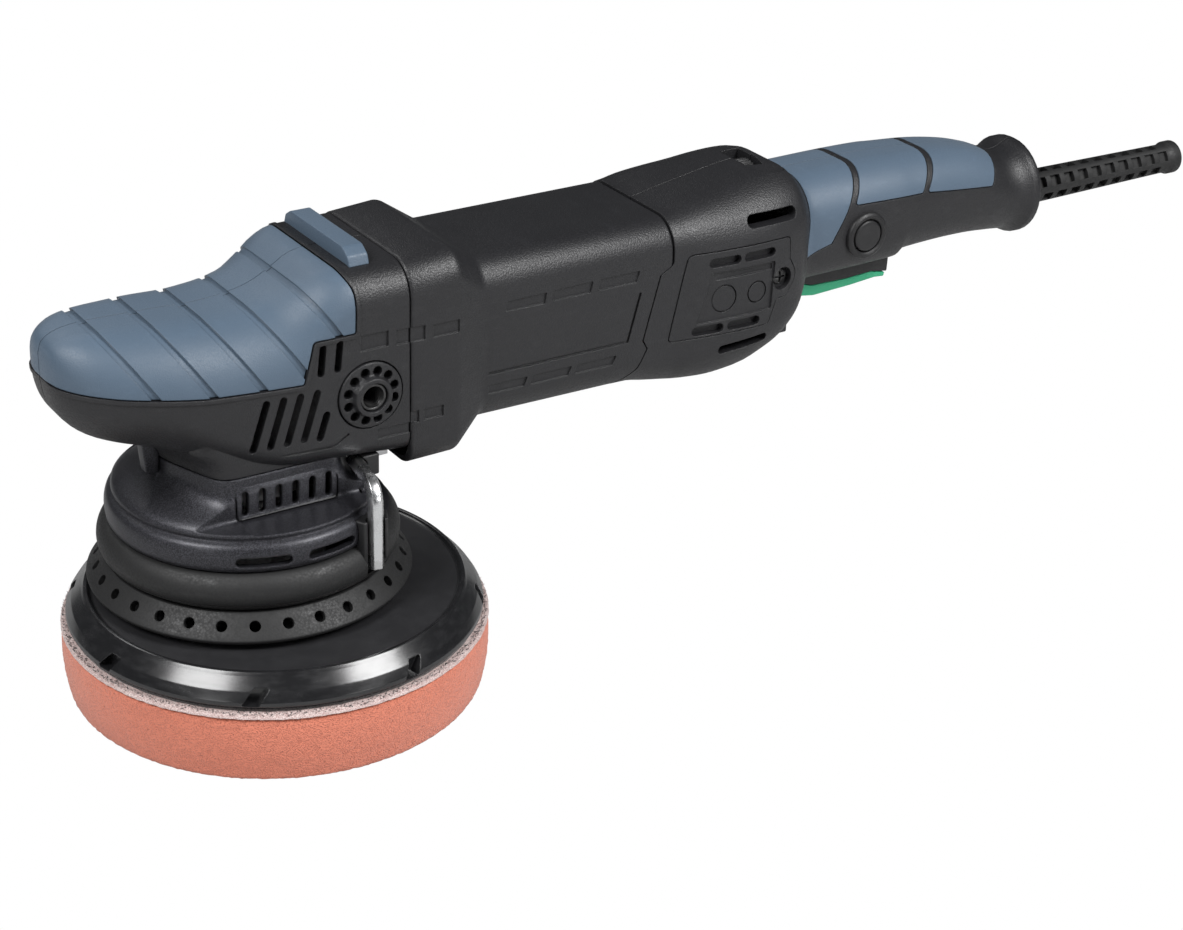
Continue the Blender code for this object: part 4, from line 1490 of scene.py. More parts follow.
    def key(self) -> None:
        """Model the bent hexagon key with chamfered ends."""
        corner, along = self.key_bend()
        bend, pieces = 7.0, 10
        path = [Vector((*self.key_place, self.key_bottom + rise)) for rise in (0.0, 0.5)]
        path.append(corner - Vector((0, 0, bend)))
        for i in range(1, pieces):
            turn = math.radians(90 * i / pieces)
            drop = Vector((0, 0, bend * (1 - math.sin(turn))))
            path.append(corner + along * bend * (1 - math.cos(turn)) - drop)
        path += [corner + along * bend, corner + along * 23.5, corner + along * 24.0]
        side = along.cross(Vector((0, 0, 1)))
        rings = []
        for i, point in enumerate(path):
            ahead = (path[min(i + 1, len(path) - 1)] - path[max(i - 1, 0)]).normalized()
            other = ahead.cross(side)
            radius = self.key_radius * (0.84 if i in (0, len(path) - 1) else 1.0)
            turns = [math.radians(60 * k) for k in range(6)]
            rings.append([tuple(point + radius * (side * math.cos(a) + other * math.sin(a))) for a in turns])
        key = soften(loft("bent_key", rings), 0.22, 2, 40)
        present(key, Body.HOUSING, "steel", Paintbox.STEEL, "hex_key", crease=25)

    def clip(self) -> None:
        """Model the key's clip under the head and its rest beside the skirt."""
        corner, along = self.key_bend()
        low, high = (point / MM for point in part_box("hex_key_clip"))
        low += Vector((0.0, 0.0, 0.4))
        high += Vector((1.0, 0.4, 0.8))
        clip = block("key_clip", low, high, 0.6)
        way = rod("way", self.key_radius + 0.25, (0, 0, -20), 80.0)
        turn = along.to_track_quat("Z", "Y").to_matrix().to_4x4()
        way.data.transform(Matrix.Translation(corner * MM) @ turn)
        carve(clip, way)
        present(clip, Body.HOUSING, "black_plastic", Paintbox.SHELL_DARK, "hex_key_clip")
        x, y = self.key_place
        front = [(x - 6.4, y + 3.6), (x - 4.6, y - 0.6), (x + 4.4, y - 0.6)]
        outline = rounded([*front, (x + 7.2, y + 5.4), (x + 1.0, y + 9.0)], 0.8)
        rest = prism("key_rest", outline, 57.0, 72.4, Axis.Z)
        soften(rest, 0.5)
        carve(rest, self.groove(), self.solid("skirt_room", -0.25))
        present(rest, Body.HOUSING, "black_plastic", Paintbox.SHELL_DARK)

    def build(self) -> None:
        """Make every piece of the skirt."""
        self.skirt()
        self.boot()
        self.vent_ring()
        self.key()
        self.clip()


# ------------------------------------------------------------------ head


HEAD_STATIONS = (
    Station(-72.0, 5.0, 136.4, 127.0, 3.6, 3.6),
    Station(-70.8, 10.8, 140.0, 120.0, 7.6, 8.0),
    Station(-67.4, 16.8, 142.4, 113.6, 12.0, 12.0),
    Station(-61.5, 22.4, 143.8, 108.6, 15.5, 15.5),
    Station(-53.5, 26.8, 144.2, 105.2, 18.5, 18.0),
    Station(-44.0, 29.6, 144.0, 102.2, 20.5, 19.5),
    Station(-33.0, 31.5, 143.8, 99.2, 22.0, 17.0),
    Station(-20.0, 32.6, 143.2, 94.4, 22.5, 13.0),
    Station(-9.0, 33.1, 143.8, 91.2, 22.5, 10.0),
    Station(1.0, 33.4, 145.6, 89.6, 22.0, 8.0),
    Station(10.0, 33.5, 149.8, 89.2, 19.0, 7.0),
    Station(18.0, 33.6, 154.2, 88.8, 15.5, 7.0),
    Station(24.0, 33.6, 155.2, 88.4, 13.0, 7.0),
    Station(45.4, 33.7, 155.0, 86.5, 11.5, 7.0),
)


@dataclass
class Head:
    """Head casing halves, blue grips, bumper, vent caps and handle inserts.

    Attributes:
        casing: outer form of the head.
        grip_thickness: thickness of the soft grips, mm.
        gap: gap round each grip, mm.
        boss: X and Z of the side handle's sockets, mm.
        grip_edge: outline of the grips in X and Z.
        band_tops: X where each channel crosses the head's top.
        band_slope: X that a channel moves back for each mm it falls.
    """

    casing: Casing = Casing(HEAD_STATIONS, (-72.0, -33.0))
    grip_thickness: float = 2.0
    gap: float = 0.4
    boss: tuple[float, float] = (30.4, 112.0)
    grip_edge: Sequence[Corner] = (
        (-95.0, 130.6),
        (-60.0, 127.0, 30.0),
        (-28.0, 122.8, 30.0),
        (5.8, 121.0, 0.8),
        (9.8, 135.4, 2.4),
        (25.0, 135.6, 0.8),
        (25.4, 150.0, 8.0),
        (22.0, 157.0, 8.0),
        (14.0, 175.0),
        (-95.0, 175.0),
    )
    band_tops: Sequence[float] = (-57.0, -39.6, -23.0, -6.2, 13.6)
    band_slope: float = 0.66

    def grip_region(self, name: str, margin: float, low: float, high: float) -> bpy.types.Object:
        """Build the region that the grip covers, grown by margin mm."""
        return prism(name, shifted(rounded(self.grip_edge), margin), low, high)

    def bead(self) -> bpy.types.Object:
        """Build the raised lip that frames the grip.

        Returns:
            The lip.
        """
        lip = self.casing.skin("lip", 1.2, -0.45)
        ring = self.grip_region("ring", 1.9, -90, 90)
        carve(ring, self.grip_region("inside", self.gap, -95, 95))
        carve(lip, ring, how=Join.KEEP)
        return carve(lip, block("tip", (-80, -30, 100), (-71.95, 30, 160)))

    def shell(self) -> None:
        """Model both casing halves."""
        shell = self.casing.solid("shell")
        seat = self.casing.skin("seat", self.grip_thickness + self.gap, -1.0)
        carve(seat, self.grip_region("region", self.gap, -90, 90), how=Join.KEEP)
        carve(shell, seat)
        carve(shell, self.bead(), how=Join.ADD)
        carve(shell, self.casing.solid("room", self.grip_thickness + self.gap + 2.0, 6.0))
        skirt = Skirt()
        carve(shell, skirt.chin(), how=Join.ADD)
        carve(shell, skirt.neck("neck_way", [(60.0, -1.5), (103.5, -1.5)]))
        carve(shell, skirt.neck("shoulder_way", [(60.0, 1.2), (skirt.seam + 0.45, 1.2)]))
        carve(shell, block("casting_way", (24.6, -23.6, 60), (70, 23.6, 101)))
        cutters = []
        for side in (-1, 1):
            low, high = span(side, 24.0, 42.0)
            for i in range(4):
                cutters.append(prism("slot", stadium((-10.3 + 6.15 * i, 108.9), 19.2, 2.7, 72), low, high))
            cutters.append(prism("slot", stadium((12.7, 104.2), 11.0, 2.7, 72), low, high))
            cutters.append(prism("slot", stadium((12.6, 128.0), 11.5, 2.6, 84), low, high))
            cutters.append(prism("slot", stadium((18.8, 128.4), 11.5, 2.6, 84), low, high))
            cutters.append(rod("boss", 12.4, (self.boss[0], side * 29.0, self.boss[1]), 20, Axis.Y, side, 72))
            shallow, deep = span(side, 32.95, 40.0)
            cutters.append(block("mark", (27.0, shallow, 128.4), (37.4, deep, 134.0)))
            cutters.append(block("mark", (40.4, shallow, 128.0), (47.0, deep, 133.4)))
            cutters.append(block("mark", (33.0, shallow, 94.6), (47.0, deep, 98.4)))
            line = [(-15.5, 97.2), (16.0, 96.4), (22.0, 99.6), (22.4, 99.0), (16.4, 95.6), (-15.5, 96.4)]
            cutters.append(prism("mark", rounded(line), shallow, deep))
        carve(shell, *cutters)
        for piece, (suffix, _) in zip(halves(shell, "head_casing"), SIDES):
            present(piece, Body.HOUSING, "black_plastic", Paintbox.SHELL, f"head_shell_{suffix}")

    def grips(self) -> None:
        """Model both soft grips with their sloping shallow channels."""
        pad = self.casing.skin("pad", self.grip_thickness)
        carve(pad, self.grip_region("region", 0.0, -90, 90), how=Join.KEEP)
        bands = []
        for top in self.band_tops:
            low, high = 110.0, 160.0
            foot, head = (top + (144.0 - z) * self.band_slope for z in (low, high))
            outline = [(foot - 1.5, low), (foot + 1.5, low), (head + 1.5, high), (head - 1.5, high)]
            bands.append(prism("band", outline, -60, 60))
        channel = self.casing.skin("channel", 0.95, -1.0)
        carve(channel, *bands, how=Join.KEEP)
        carve(pad, channel)
        for piece, (suffix, _) in zip(halves(pad, "head_grip_pad"), SIDES):
            present(piece, Body.HOUSING, "blue_rubber", Paintbox.GRIP, f"head_grip_{suffix}", crease=30)

    def caps(self) -> None:
        """Model the round vent caps with twelve holes and the handle's socket."""
        x, z = self.boss
        for suffix, side in SIDES:
            outline = [
                (5.2, 0.0),
                (11.9, 0.0),
                (11.9, 4.7, 0.5),
                (9.9, 5.0, 0.8),
                (7.4, 5.2, 0.8),
                (6.8, 7.4, 0.5),
                (5.2, 7.4, 0.3),
            ]
            cap = lathe(f"vent_cap_{suffix}", outline, 96, (x, side * 29.5, z), Axis.Y, side)
            holes = []
            for i in range(12):
                turn = math.radians(30 * i + 15)
                spot = (x + 8.9 * math.cos(turn), side * 31.0, z + 8.9 * math.sin(turn))
                holes.append(rod("hole", 1.75, spot, 8, Axis.Y, side, 20))
            carve(cap, *holes)
            present(cap, Body.HOUSING, "black_plastic", Paintbox.SHELL, f"side_vent_cap_{suffix}", crease=35)
            thread = [(3.4, 0.0), (4.9, 0.0, 0.3), (4.9, 11.6, 0.4), (3.9, 11.6, 0.3)]
            for i in range(9):
                thread += [(3.75, 11.0 - 1.2 * i), (3.4, 10.4 - 1.2 * i)]
            insert = lathe(f"handle_insert_{suffix}", thread, 60, (x, side * 24.4, z), Axis.Y, side)
            present(insert, Body.HOUSING, "steel", Paintbox.DARK_STEEL, f"handle_nut_{suffix}")

    def bumper(self) -> None:
        """Model the rubber strip across the top of the head."""
        outline = [(-24.4, 153.8, 0.5), (-22.8, 158.2, 2.0), (-19.0, 160.6, 3.0), (19.0, 160.6, 3.0)]
        outline += [(22.8, 158.2, 2.0), (24.4, 153.8, 0.5), (0.0, 154.4)]
        strip = prism("head_bumper", rounded(outline), 28.0, 35.6, Axis.X)
        soften(strip, 1.1, 4, 50)
        carve(strip, self.casing.solid("under", -0.05))
        present(strip, Body.HOUSING, "blue_rubber", Paintbox.GRIP, "top_bumper")

    def build(self) -> None:
        """Make every piece of the head."""
        self.shell()
        self.grips()
        self.caps()
        self.bumper()


# ------------------------------------------------------------------ motor housing


@dataclass
class MotorHousing:
    """Collar and barrel in one moulding, with its label panel left blank."""

    casing: Casing = Casing(
        (
            Station(45.9, 33.8, 155.3, 80.0, 11.5, 9.0),
            Station(65.0, 33.8, 156.6, 80.4, 11.0, 9.0),
            Station(77.0, 29.5, 148.8, 87.8, 11.5, 12.0),
            Station(155.6, 29.5, 149.2, 87.4, 11.5, 12.0),
        ),
        smooth=False,
        arc=12,
    )
    wall: float = 2.4

    @staticmethod
    def rear_edge(margin: float, far: float = 260.0) -> list[Point2]:
        """Outline all that lies behind the stepped rear seam.

        Args:
            margin: how far it is moved back, mm.
            far: X where it ends, mm.

        Returns:
            Points of the outline in X and Z.
        """
        steps = [
            (155.2, 175.0),
            (155.2, 133.4, 2.0),
            (149.9, 130.4, 1.0),
            (143.3, 106.2, 0.8),
            (145.3, 102.8, 0.8),
            (141.4, 95.4, 4.0),
            (131.0, 86.4),
            (129.0, 60.0),
        ]
        edge = [(x + margin, z) for x, z in rounded(steps)]
        return [*edge, (far, 60.0), (far, 175.0)]

    def marks(self, side: int) -> list[bpy.types.Object]:
        """Build the cutters for the panel groove and the shallow strips.

        Args:
            side: -1 for the left side, 1 for the right.

        Returns:
            The cutters.
        """
        low, high = span(side, 28.7, 36.0)
        groove = [(79.0, 107.9), (136.4, 107.9), (141.2, 125.6), (142.2, 125.3), (137.2, 106.8)]
        cutters = [prism("groove", rounded([*groove, (79.0, 106.8)], 0.3), low, high)]
        low, high = span(side, 28.9, 36.0)
        strips = [
            [(85.4, 129.4), (101.5, 129.3), (102.2, 133.3), (86.4, 133.1)],
            [(104.5, 129.6), (120.4, 129.6), (121.4, 133.8), (105.2, 133.4)],
            [(123.6, 129.7), (139.8, 129.7), (141.2, 133.9), (124.2, 133.9)],
            [(79.0, 99.5), (93.6, 99.5), (95.0, 102.9), (79.0, 102.9)],
            [(96.0, 99.5), (111.8, 99.5), (113.4, 102.9), (97.2, 102.9)],
            [(114.2, 99.5), (130.6, 99.5), (132.4, 102.9), (115.6, 102.9)],
        ]
        cutters += [prism("strip", rounded(strip, 0.4), low, high) for strip in strips]
        low, high = span(side, 33.15, 40.0)
        cutters.append(block("mark", (45.0, low, 127.9), (51.4, high, 133.2)))
        cutters.append(block("mark", (54.6, low, 127.9), (64.8, high, 132.6)))
        cutters.append(block("mark", (44.0, low, 97.8), (49.0, high, 102.2)))
        cutters.append(block("mark", (51.0, low, 97.9), (58.6, high, 102.0)))
        return cutters

    def build(self) -> None:
        """Model the housing."""
        body = self.casing.solid("motor_casing")
        soften(body, 1.3, 4, 14)
        carve(body, self.casing.solid("room", self.wall, 6.0))
        carve(body, prism("rear", self.rear_edge(0.0), -60, 60))
        carve(body, *self.marks(-1), *self.marks(1))
        present(body, Body.HOUSING, "black_plastic", Paintbox.SHELL, "motor_housing", crease=28)


# ------------------------------------------------------------------ handle


HANDLE_STATIONS = (
    Station(129.0, 29.5, 149.1, 87.5, 11.5, 12.0),
    Station(141.0, 29.5, 149.2, 87.3, 11.5, 12.0),
    Station(148.0, 29.5, 149.3, 85.8, 11.5, 12.6),
    Station(156.0, 29.7, 149.7, 84.2, 11.8, 13.4),
    Station(165.0, 31.2, 151.4, 82.8, 14.0, 15.0),
    Station(176.0, 32.4, 153.4, 82.2, 18.0, 16.0),
    Station(188.0, 33.0, 155.4, 83.0, 22.0, 17.0),
    Station(198.0, 32.6, 156.8, 85.8, 23.0, 17.0),
    Station(207.0, 31.6, 157.2, 90.6, 23.0, 15.0),
    Station(214.0, 29.6, 155.8, 95.6, 21.0, 15.0),
    Station(219.0, 26.0, 152.0, 102.0, 18.0, 15.0),
    Station(222.5, 22.8, 149.8, 108.4, 17.0, 12.0),
    Station(252.0, 22.6, 150.2, 108.8, 17.0, 12.0),
    Station(269.0, 22.0, 150.0, 109.0, 16.5, 12.0),
    Station(272.0, 21.8, 149.8, 111.4, 16.5, 12.0),
    Station(290.0, 20.8, 148.6, 111.8, 16.0, 12.0),
    Station(306.0, 19.6, 146.4, 111.2, 15.5, 12.0),
    Station(320.0, 18.4, 142.6, 109.4, 15.0, 13.0),
    Station(328.0, 17.6, 139.8, 107.6, 15.0, 15.0),
    Station(333.0, 18.2, 140.8, 106.4, 17.4, 17.4),
    Station(336.4, 19.6, 142.6, 104.8, 18.8, 18.8),
    Station(337.4, 20.0, 143.0, 104.4, 19.3, 19.3),
    Station(339.8, 20.0, 143.0, 104.4, 19.3, 19.3),
    Station(340.4, 19.6, 142.6, 104.8, 18.9, 18.9),
    Station(341.0, 18.6, 141.6, 105.8, 17.8, 17.8),
)


@dataclass
class Handle:
    """Rear housing and handle halves with their pads, covers and controls.

    Attributes:
        casing: outer form of rear housing and handle.
        pad_thickness: thickness of the soft pads, mm.
        gap: gap round each pad, mm.
        lock: X and Z of the lock button, mm.
        sleeve: X and Z where the cable sleeve starts, mm.
        sleeve_length: its length, mm.
        dial: X and Z of the speed wheel's axis, mm.
        screw: X and Z of the covers' screws, mm.
        panels: outlines of the soft pads in X and Z.
        cover: outline of the brush covers in X and Z.
    """

    casing: Casing = Casing(HANDLE_STATIONS, step=3.2)
    pad_thickness: float = 2.0
    gap: float = 0.4
    lock: tuple[float, float] = (249.0, 125.4)
    sleeve: tuple[float, float] = (331.5, 119.6)
    sleeve_length: float = 100.4
    dial: tuple[float, float] = (205.0, 146.4)
    screw: tuple[float, float] = (203.0, 120.0)
    panels: dict[str, Sequence[Corner]] = field(
        default_factory=lambda: {
            "front": (
                (222.2, 160.0),
                (222.6, 148.0, 6.0),
                (220.8, 121.2, 1.0),
                (227.0, 123.4, 3.0),
                (232.8, 124.8, 0.8),
                (241.0, 138.6, 16.0),
                (248.0, 150.0, 6.0),
                (250.6, 160.0),
            ),
            "middle": (
                (253.4, 160.0),
                (251.4, 150.4, 6.0),
                (244.0, 138.0, 0.8),
                (277.2, 136.8, 1.2),
                (284.4, 148.0, 8.0),
                (287.0, 160.0),
            ),
            "rear": (
                (290.0, 160.0),
                (287.4, 147.0, 8.0),
                (280.2, 136.6, 0.8),
                (315.2, 132.3, 1.0),
                (319.4, 140.0, 8.0),
                (325.0, 150.0),
                (325.0, 160.0),
            ),
        }
    )
    cover: Sequence[Corner] = (
        (154.6, 103.4, 1.4),
        (161.4, 136.0, 3.0),
        (205.6, 135.8, 1.6),
        (206.2, 127.0, 1.4),
        (210.4, 120.2, 5.6),
        (205.2, 113.0, 3.0),
        (200.4, 112.4, 1.0),
        (197.0, 103.4, 2.0),
    )

    def region(self, outline: Sequence[Corner], margin: float) -> bpy.types.Object:
        """Build the block that an outline covers, through both sides."""
        return prism("region", shifted(rounded(outline), margin), -70, 70)

    def side_cuts(self, side: int) -> list[bpy.types.Object]:
        """Build the cutters for the vents.

        Args:
            side: -1 for the left side, 1 for the right.

        Returns:
            The cutters.
        """
        low, high = span(side, 20.0, 50.0)
        return [
            prism("vent", stadium((198.4, 144.0), 23.0, 4.6), low, high),
            prism("vent", stadium((186.4, 97.4), 22.0, 3.4, 4), low, high),
        ]

    def shell(self) -> None:
        """Model both halves of the rear housing and handle."""
        shell = self.casing.solid("shell")
        seat = self.casing.skin("seat", self.pad_thickness + self.gap, -1.0)
        regions = [self.region(outline, self.gap) for outline in self.panels.values()]
        carve(seat, *regions, how=Join.KEEP)
        carve(shell, seat)
        cover_seat = self.casing.skin("cover_seat", 2.4, -1.0)
        carve(cover_seat, self.region(self.cover, 0.35), how=Join.KEEP)
        middle = block("middle", (120, -24, 60), (240, 24, 180))
        carve(cover_seat, middle)
        carve(shell, cover_seat)
        room = Casing(HANDLE_STATIONS[:-4], step=5.0).solid("room", 4.4, 0.0)
        carve(shell, room)
        carve(shell, block("front", (120, -40, 60), (131.5, 40, 180)))
        sleeve_x, sleeve_z = self.sleeve
        dial_x, dial_z = self.dial
        lock_x, lock_z = self.lock
        carve(
            shell,
            rod("cable_way", 7.6, (sleeve_x - 10, 0, sleeve_z), 40, Axis.X),
            block("trigger_way", (230.4, -8.5, 95), (274.6, 8.5, 118)),
            block("dial_way", (dial_x - 4.2, -8.0, dial_z - 3), (dial_x + 4.2, 8.0, 175)),
            rod("lock_way", 6.5, (lock_x, -12.0, lock_z), 20, Axis.Y, -1),
            *self.side_cuts(-1),
            *self.side_cuts(1),
        )
        carve(shell, self.thumb_recess())
        feet = [block("foot", (211.0, y - 2.0, 92.2), (214.8, y + 2.0, 100.0), 0.6) for y in (-20.0, 20.0)]
        carve(shell, *feet, how=Join.ADD)
        kept = prism("kept", MotorHousing.rear_edge(0.55, 360.0), -70, 70)
        carve(shell, kept, how=Join.KEEP)
        for piece, (suffix, _) in zip(halves(shell, "rear_casing"), SIDES):
            present(piece, Body.HOUSING, "black_plastic", Paintbox.SHELL, f"handle_shell_{suffix}")

    def thumb_recess(self) -> bpy.types.Object:
        """Build the cutter for the shallow dish beside the speed wheel.

        Returns:
            The cutter.
        """
        dish = rod("dish", 9.0, (0, 0, 0), 10, steps=60)
        tilt = Matrix.Rotation(math.radians(16), 4, "X") @ Matrix.Rotation(math.radians(6), 4, "Y")
        dish.data.transform(Matrix.Translation(Vector((208.5, -7.5, 156.0)) * MM) @ tilt)
        return dish

    def pads(self) -> None:
        """Model the six soft pads."""
        for name, outline in self.panels.items():
            pad = self.casing.skin("pad", self.pad_thickness)
            carve(pad, self.region(outline, 0.0), how=Join.KEEP)
            for piece, (suffix, _) in zip(halves(pad, f"handle_pad_{name}"), SIDES):
                node = f"handle_grip_{name}_{suffix}"
                present(piece, Body.HOUSING, "blue_rubber", Paintbox.GRIP, node, crease=30)

    def covers(self) -> None:
        """Model both brush covers and their screws."""
        base = self.casing.skin("cover", 2.2, -0.15)
        carve(base, self.region(self.cover, 0.0), how=Join.KEEP)
        for suffix, side in SIDES:
            self.brush_cover(twin(base, f"brush_cover_{suffix}"), suffix, side)
            self.fixing(suffix, side)
        bpy.data.objects.remove(base, do_unlink=True)

    def brush_cover(self, cover: bpy.types.Object, suffix: str, side: int) -> None:
        """Cut one cover to its framed field, split vents and ring marks.

        Args:
            cover: blank that spans both sides.
            suffix: name of the side.
            side: -1 for the left side, 1 for the right.
        """
        low, high = span(side, 24.5, 50.0)
        carve(cover, block("half", (120, low, 60), (240, high, 180)), how=Join.KEEP)
        frame_skin = Casing(HANDLE_STATIONS[2:10], step=5.0).skin("field", 0.6, -2.0)
        outline = rounded([(165.0, 108.6), (171.6, 128.0), (199.0, 128.0), (198.2, 109.2)], 1.0)
        carve(frame_skin, prism("frame", outline, *span(side, 10, 60)), how=Join.KEEP)
        carve(cover, frame_skin)
        vents = []
        for x, z, length in (
            (176.4, 131.8, 13.4),
            (191.6, 131.8, 14.2),
            (170.4, 106.0, 13.2),
            (185.8, 106.0, 14.4),
        ):
            vents.append(prism("vent", stadium((x, z), length, 3.6), low, high))
        screw_x, screw_z = self.screw
        vents.append(rod("screw_way", 4.4, (screw_x, side * 24, screw_z), 20, Axis.Y, side, 48))
        bar = rounded([(173, 124.6), (198, 124.6), (198, 127.0), (173.6, 127.0)], 0.4)
        vents.append(prism("bar", bar, *span(side, 31.4, 50)))
        carve(cover, *vents)
        marks = []
        for centre, radius in ((177.0, 4.9), (191.5, 3.8)):
            ring = [(radius, 0), (radius + 0.5, 0), (radius + 0.5, 10), (radius, 10)]
            marks.append(lathe("ring", ring, 60, (centre, side * 31.2, 117.0), Axis.Y, side))
        carve(cover, *marks)
        present(cover, Body.HOUSING, "black_plastic", Paintbox.SHELL, f"side_cover_{suffix}")

    def fixing(self, suffix: str, side: int) -> None:
        """Model the cross-headed screw of one brush cover.

        Args:
            suffix: name of the side.
            side: -1 for the left side, 1 for the right.
        """
        x, z = self.screw
        profile = [(0, 0), (1.5, 0), (1.5, 4.0), (3.2, 4.0, 0.2), (3.2, 5.6, 0.7), (0, 6.2)]
        screw = lathe(f"cover_fixing_{suffix}", profile, 48, (x, side * 24.6, z), Axis.Y, side)
        low, high = span(side, 29.4, 36)
        for wide, tall in ((2.2, 0.45), (0.45, 2.2)):
            carve(screw, block("cross", (x - wide, low, z - tall), (x + wide, high, z + tall)))
        present(screw, Body.HOUSING, "steel", Paintbox.DARK_STEEL, f"cover_screw_{suffix}")

    def cable_sleeve(self) -> None:
        """Model the bend-relief sleeve: a taper with rows of staggered windows."""
        x, z = self.sleeve
        profile = [
            (3.6, 0.0),
            (8.8, 0.0, 0.5),
            (8.8, 4.8, 0.5),
            (7.3, 5.0),
            (7.3, 12.5, 0.6),
            (7.0, 13.5),
            (6.0, 95.0),
            (6.9, 96.4, 0.5),
            (6.9, self.sleeve_length, 0.5),
            (3.6, self.sleeve_length),
        ]
        sleeve = lathe("bend_relief", profile, 72, (x, 0, z), Axis.X)
        windows = []
        rows, pitch, first = 6, 7.6, 16.0
        for row in range(rows):
            turn = Matrix.Rotation(2 * math.pi * row / rows, 4, "X")
            stagger = 0.5 * pitch * (row % 2)
            for i in range(10):
                start = first + stagger + pitch * i
                window = block("window", (start, -2.1, 4.3), (start + 4.9, 2.1, 9.0))
                window.data.transform(Matrix.Translation(Vector((x, 0, z)) * MM) @ turn)
                windows.append(window)
        carve(sleeve, *windows)
        present(sleeve, Body.HOUSING, "black_rubber", Paintbox.RUBBER, "cable_sleeve", crease=35)

    def controls(self) -> None:
        """Model the trigger, its green insert, the lock button and the speed wheel."""
        outline = [
            (231.2, 113.5, 0.5),
            (231.0, 103.6, 1.0),
            (237.0, 101.8, 4.0),
            (254.0, 101.4, 10.0),
            (266.0, 102.0, 4.0),
            (273.8, 100.6, 0.6),
            (274.0, 106.4, 1.0),
            (262.0, 113.5, 1.0),
        ]
        lever = soften(prism("trigger_lever", rounded(outline), -8.0, 8.0), 0.9, 3, 50)
        present(lever, Body.TRIGGER, "black_plastic", Paintbox.SHELL_DARK, "trigger")
        outline = [
            (227.0, 102.2, 0.5),
            (227.8, 98.8, 1.0),
            (238.0, 97.2, 8.0),
            (256.0, 98.0, 10.0),
            (268.0, 99.0, 4.0),
            (272.6, 98.6, 0.5),
            (273.0, 100.2, 0.3),
            (266.0, 101.6, 4.0),
            (254.0, 101.0, 10.0),
            (237.0, 101.4, 4.0),
            (231.0, 103.2, 0.5),
        ]
        insert = soften(prism("trigger_pad", rounded(outline), -7.6, 7.6), 0.6, 3, 60)
        present(insert, Body.TRIGGER, "trigger_green", Paintbox.GREEN, "trigger_insert")
        x, z = self.lock
        profile = [(0, 0), (6.1, 0), (6.1, 11.0, 0.7), (4.6, 11.2, 0.6), (0, 10.8)]
        button = lathe("lock_knob", profile, 72, (x, -13.5, z), Axis.Y, -1)
        present(button, Body.LOCK, "black_plastic", Paintbox.BUTTON, "lock_button")
        bezel = [(6.6, 0), (9.2, 0), (9.2, 2.6, 1.0), (7.9, 3.4, 0.6), (6.6, 2.8, 0.5)]
        ring = lathe("lock_bezel", bezel, 96, (x, -21.4, z), Axis.Y, -1)
        present(ring, Body.HOUSING, "black_plastic", Paintbox.SHELL_DARK)
        self.wheel()

    def wheel(self) -> None:
        """Model the ribbed speed wheel."""
        x, z = self.dial
        ribs = 36
        points = []
        for i in range(ribs):
            for phase, reach in ((-0.32, 8.7), (-0.2, 9.25), (0.2, 9.25), (0.32, 8.7)):
                turn = 2 * math.pi * (i + phase) / ribs
                points.append((reach * math.cos(turn), z + reach * math.sin(turn)))
        wheel = prism("speed_wheel", points, x - 3.4, x + 3.4, Axis.X)
        soften(wheel, 0.35, 2, 60)
        present(wheel, Body.WHEEL, "black_plastic", Paintbox.BUTTON, "speed_dial")

    def build(self) -> None:
        """Make every piece of the handle."""
        self.shell()
        self.pads()
        self.covers()
        self.cable_sleeve()
        self.controls()


# ------------------------------------------------------------------ inner works and studio


@dataclass
class InnerWorks:
    """Working-model nodes that stay as they are and only get a finish."""

    finishes: dict[str, Finish] = field(
        default_factory=lambda: {
            "black_plastic": Paintbox.SHELL_DARK,
            "blue_rubber": Paintbox.GRIP,
            "black_rubber": Paintbox.RUBBER,
            "skirt_metal": Paintbox.SKIRT,
            "cast_aluminium": Paintbox.CAST,
            "steel": Paintbox.STEEL,
            "copper": Paintbox.COPPER,
            "brass": Paintbox.BRASS,
            "carbon": Paintbox.CARBON,
            "plate_black": Paintbox.SHELL_DARK,
            "hook_grey": Paintbox.HOOK,
            "loop_white": Paintbox.LOOP,
            "foam_orange": Paintbox.FOAM,
            "trigger_green": Paintbox.GREEN,
            "board_green": Paintbox.BOARD,
        }
    )

    def build(self) -> None:
        """Paint every node that no piece replaces."""
        slots = {part["node"]: part["material_slot"] for part in frame["record"]["subparts"]}
        for name, node in frame["nodes"].items():
            material = PAINTS.material(self.finishes[slots[name]])
            node.data.materials.clear()
            node.data.materials.append(material)
            log.info("%s painted %s", name, material.name)


@dataclass(frozen=True)
class Softbox:
    """Rectangular soft light, with its place and size in metres."""

    name: str
    place: tuple[float, float, float]
    size: Point2
    watts: float

    def hang(self, aim: Sequence[float]) -> None:
        """Add the light, turned to face a point.

        Args:
            aim: the point, in metres.
        """
        data = bpy.data.lights.new(self.name, "AREA")
        data.shape = "RECTANGLE"
        data.size, data.size_y = self.size
        data.energy = self.watts
        lamp = bpy.data.objects.new(self.name, data)
        lamp.location = self.place
        direction = Vector(self.place) - Vector(aim)
        lamp.rotation_euler = direction.to_track_quat("Z", "Y").to_euler()
        bpy.context.scene.collection.objects.link(lamp)


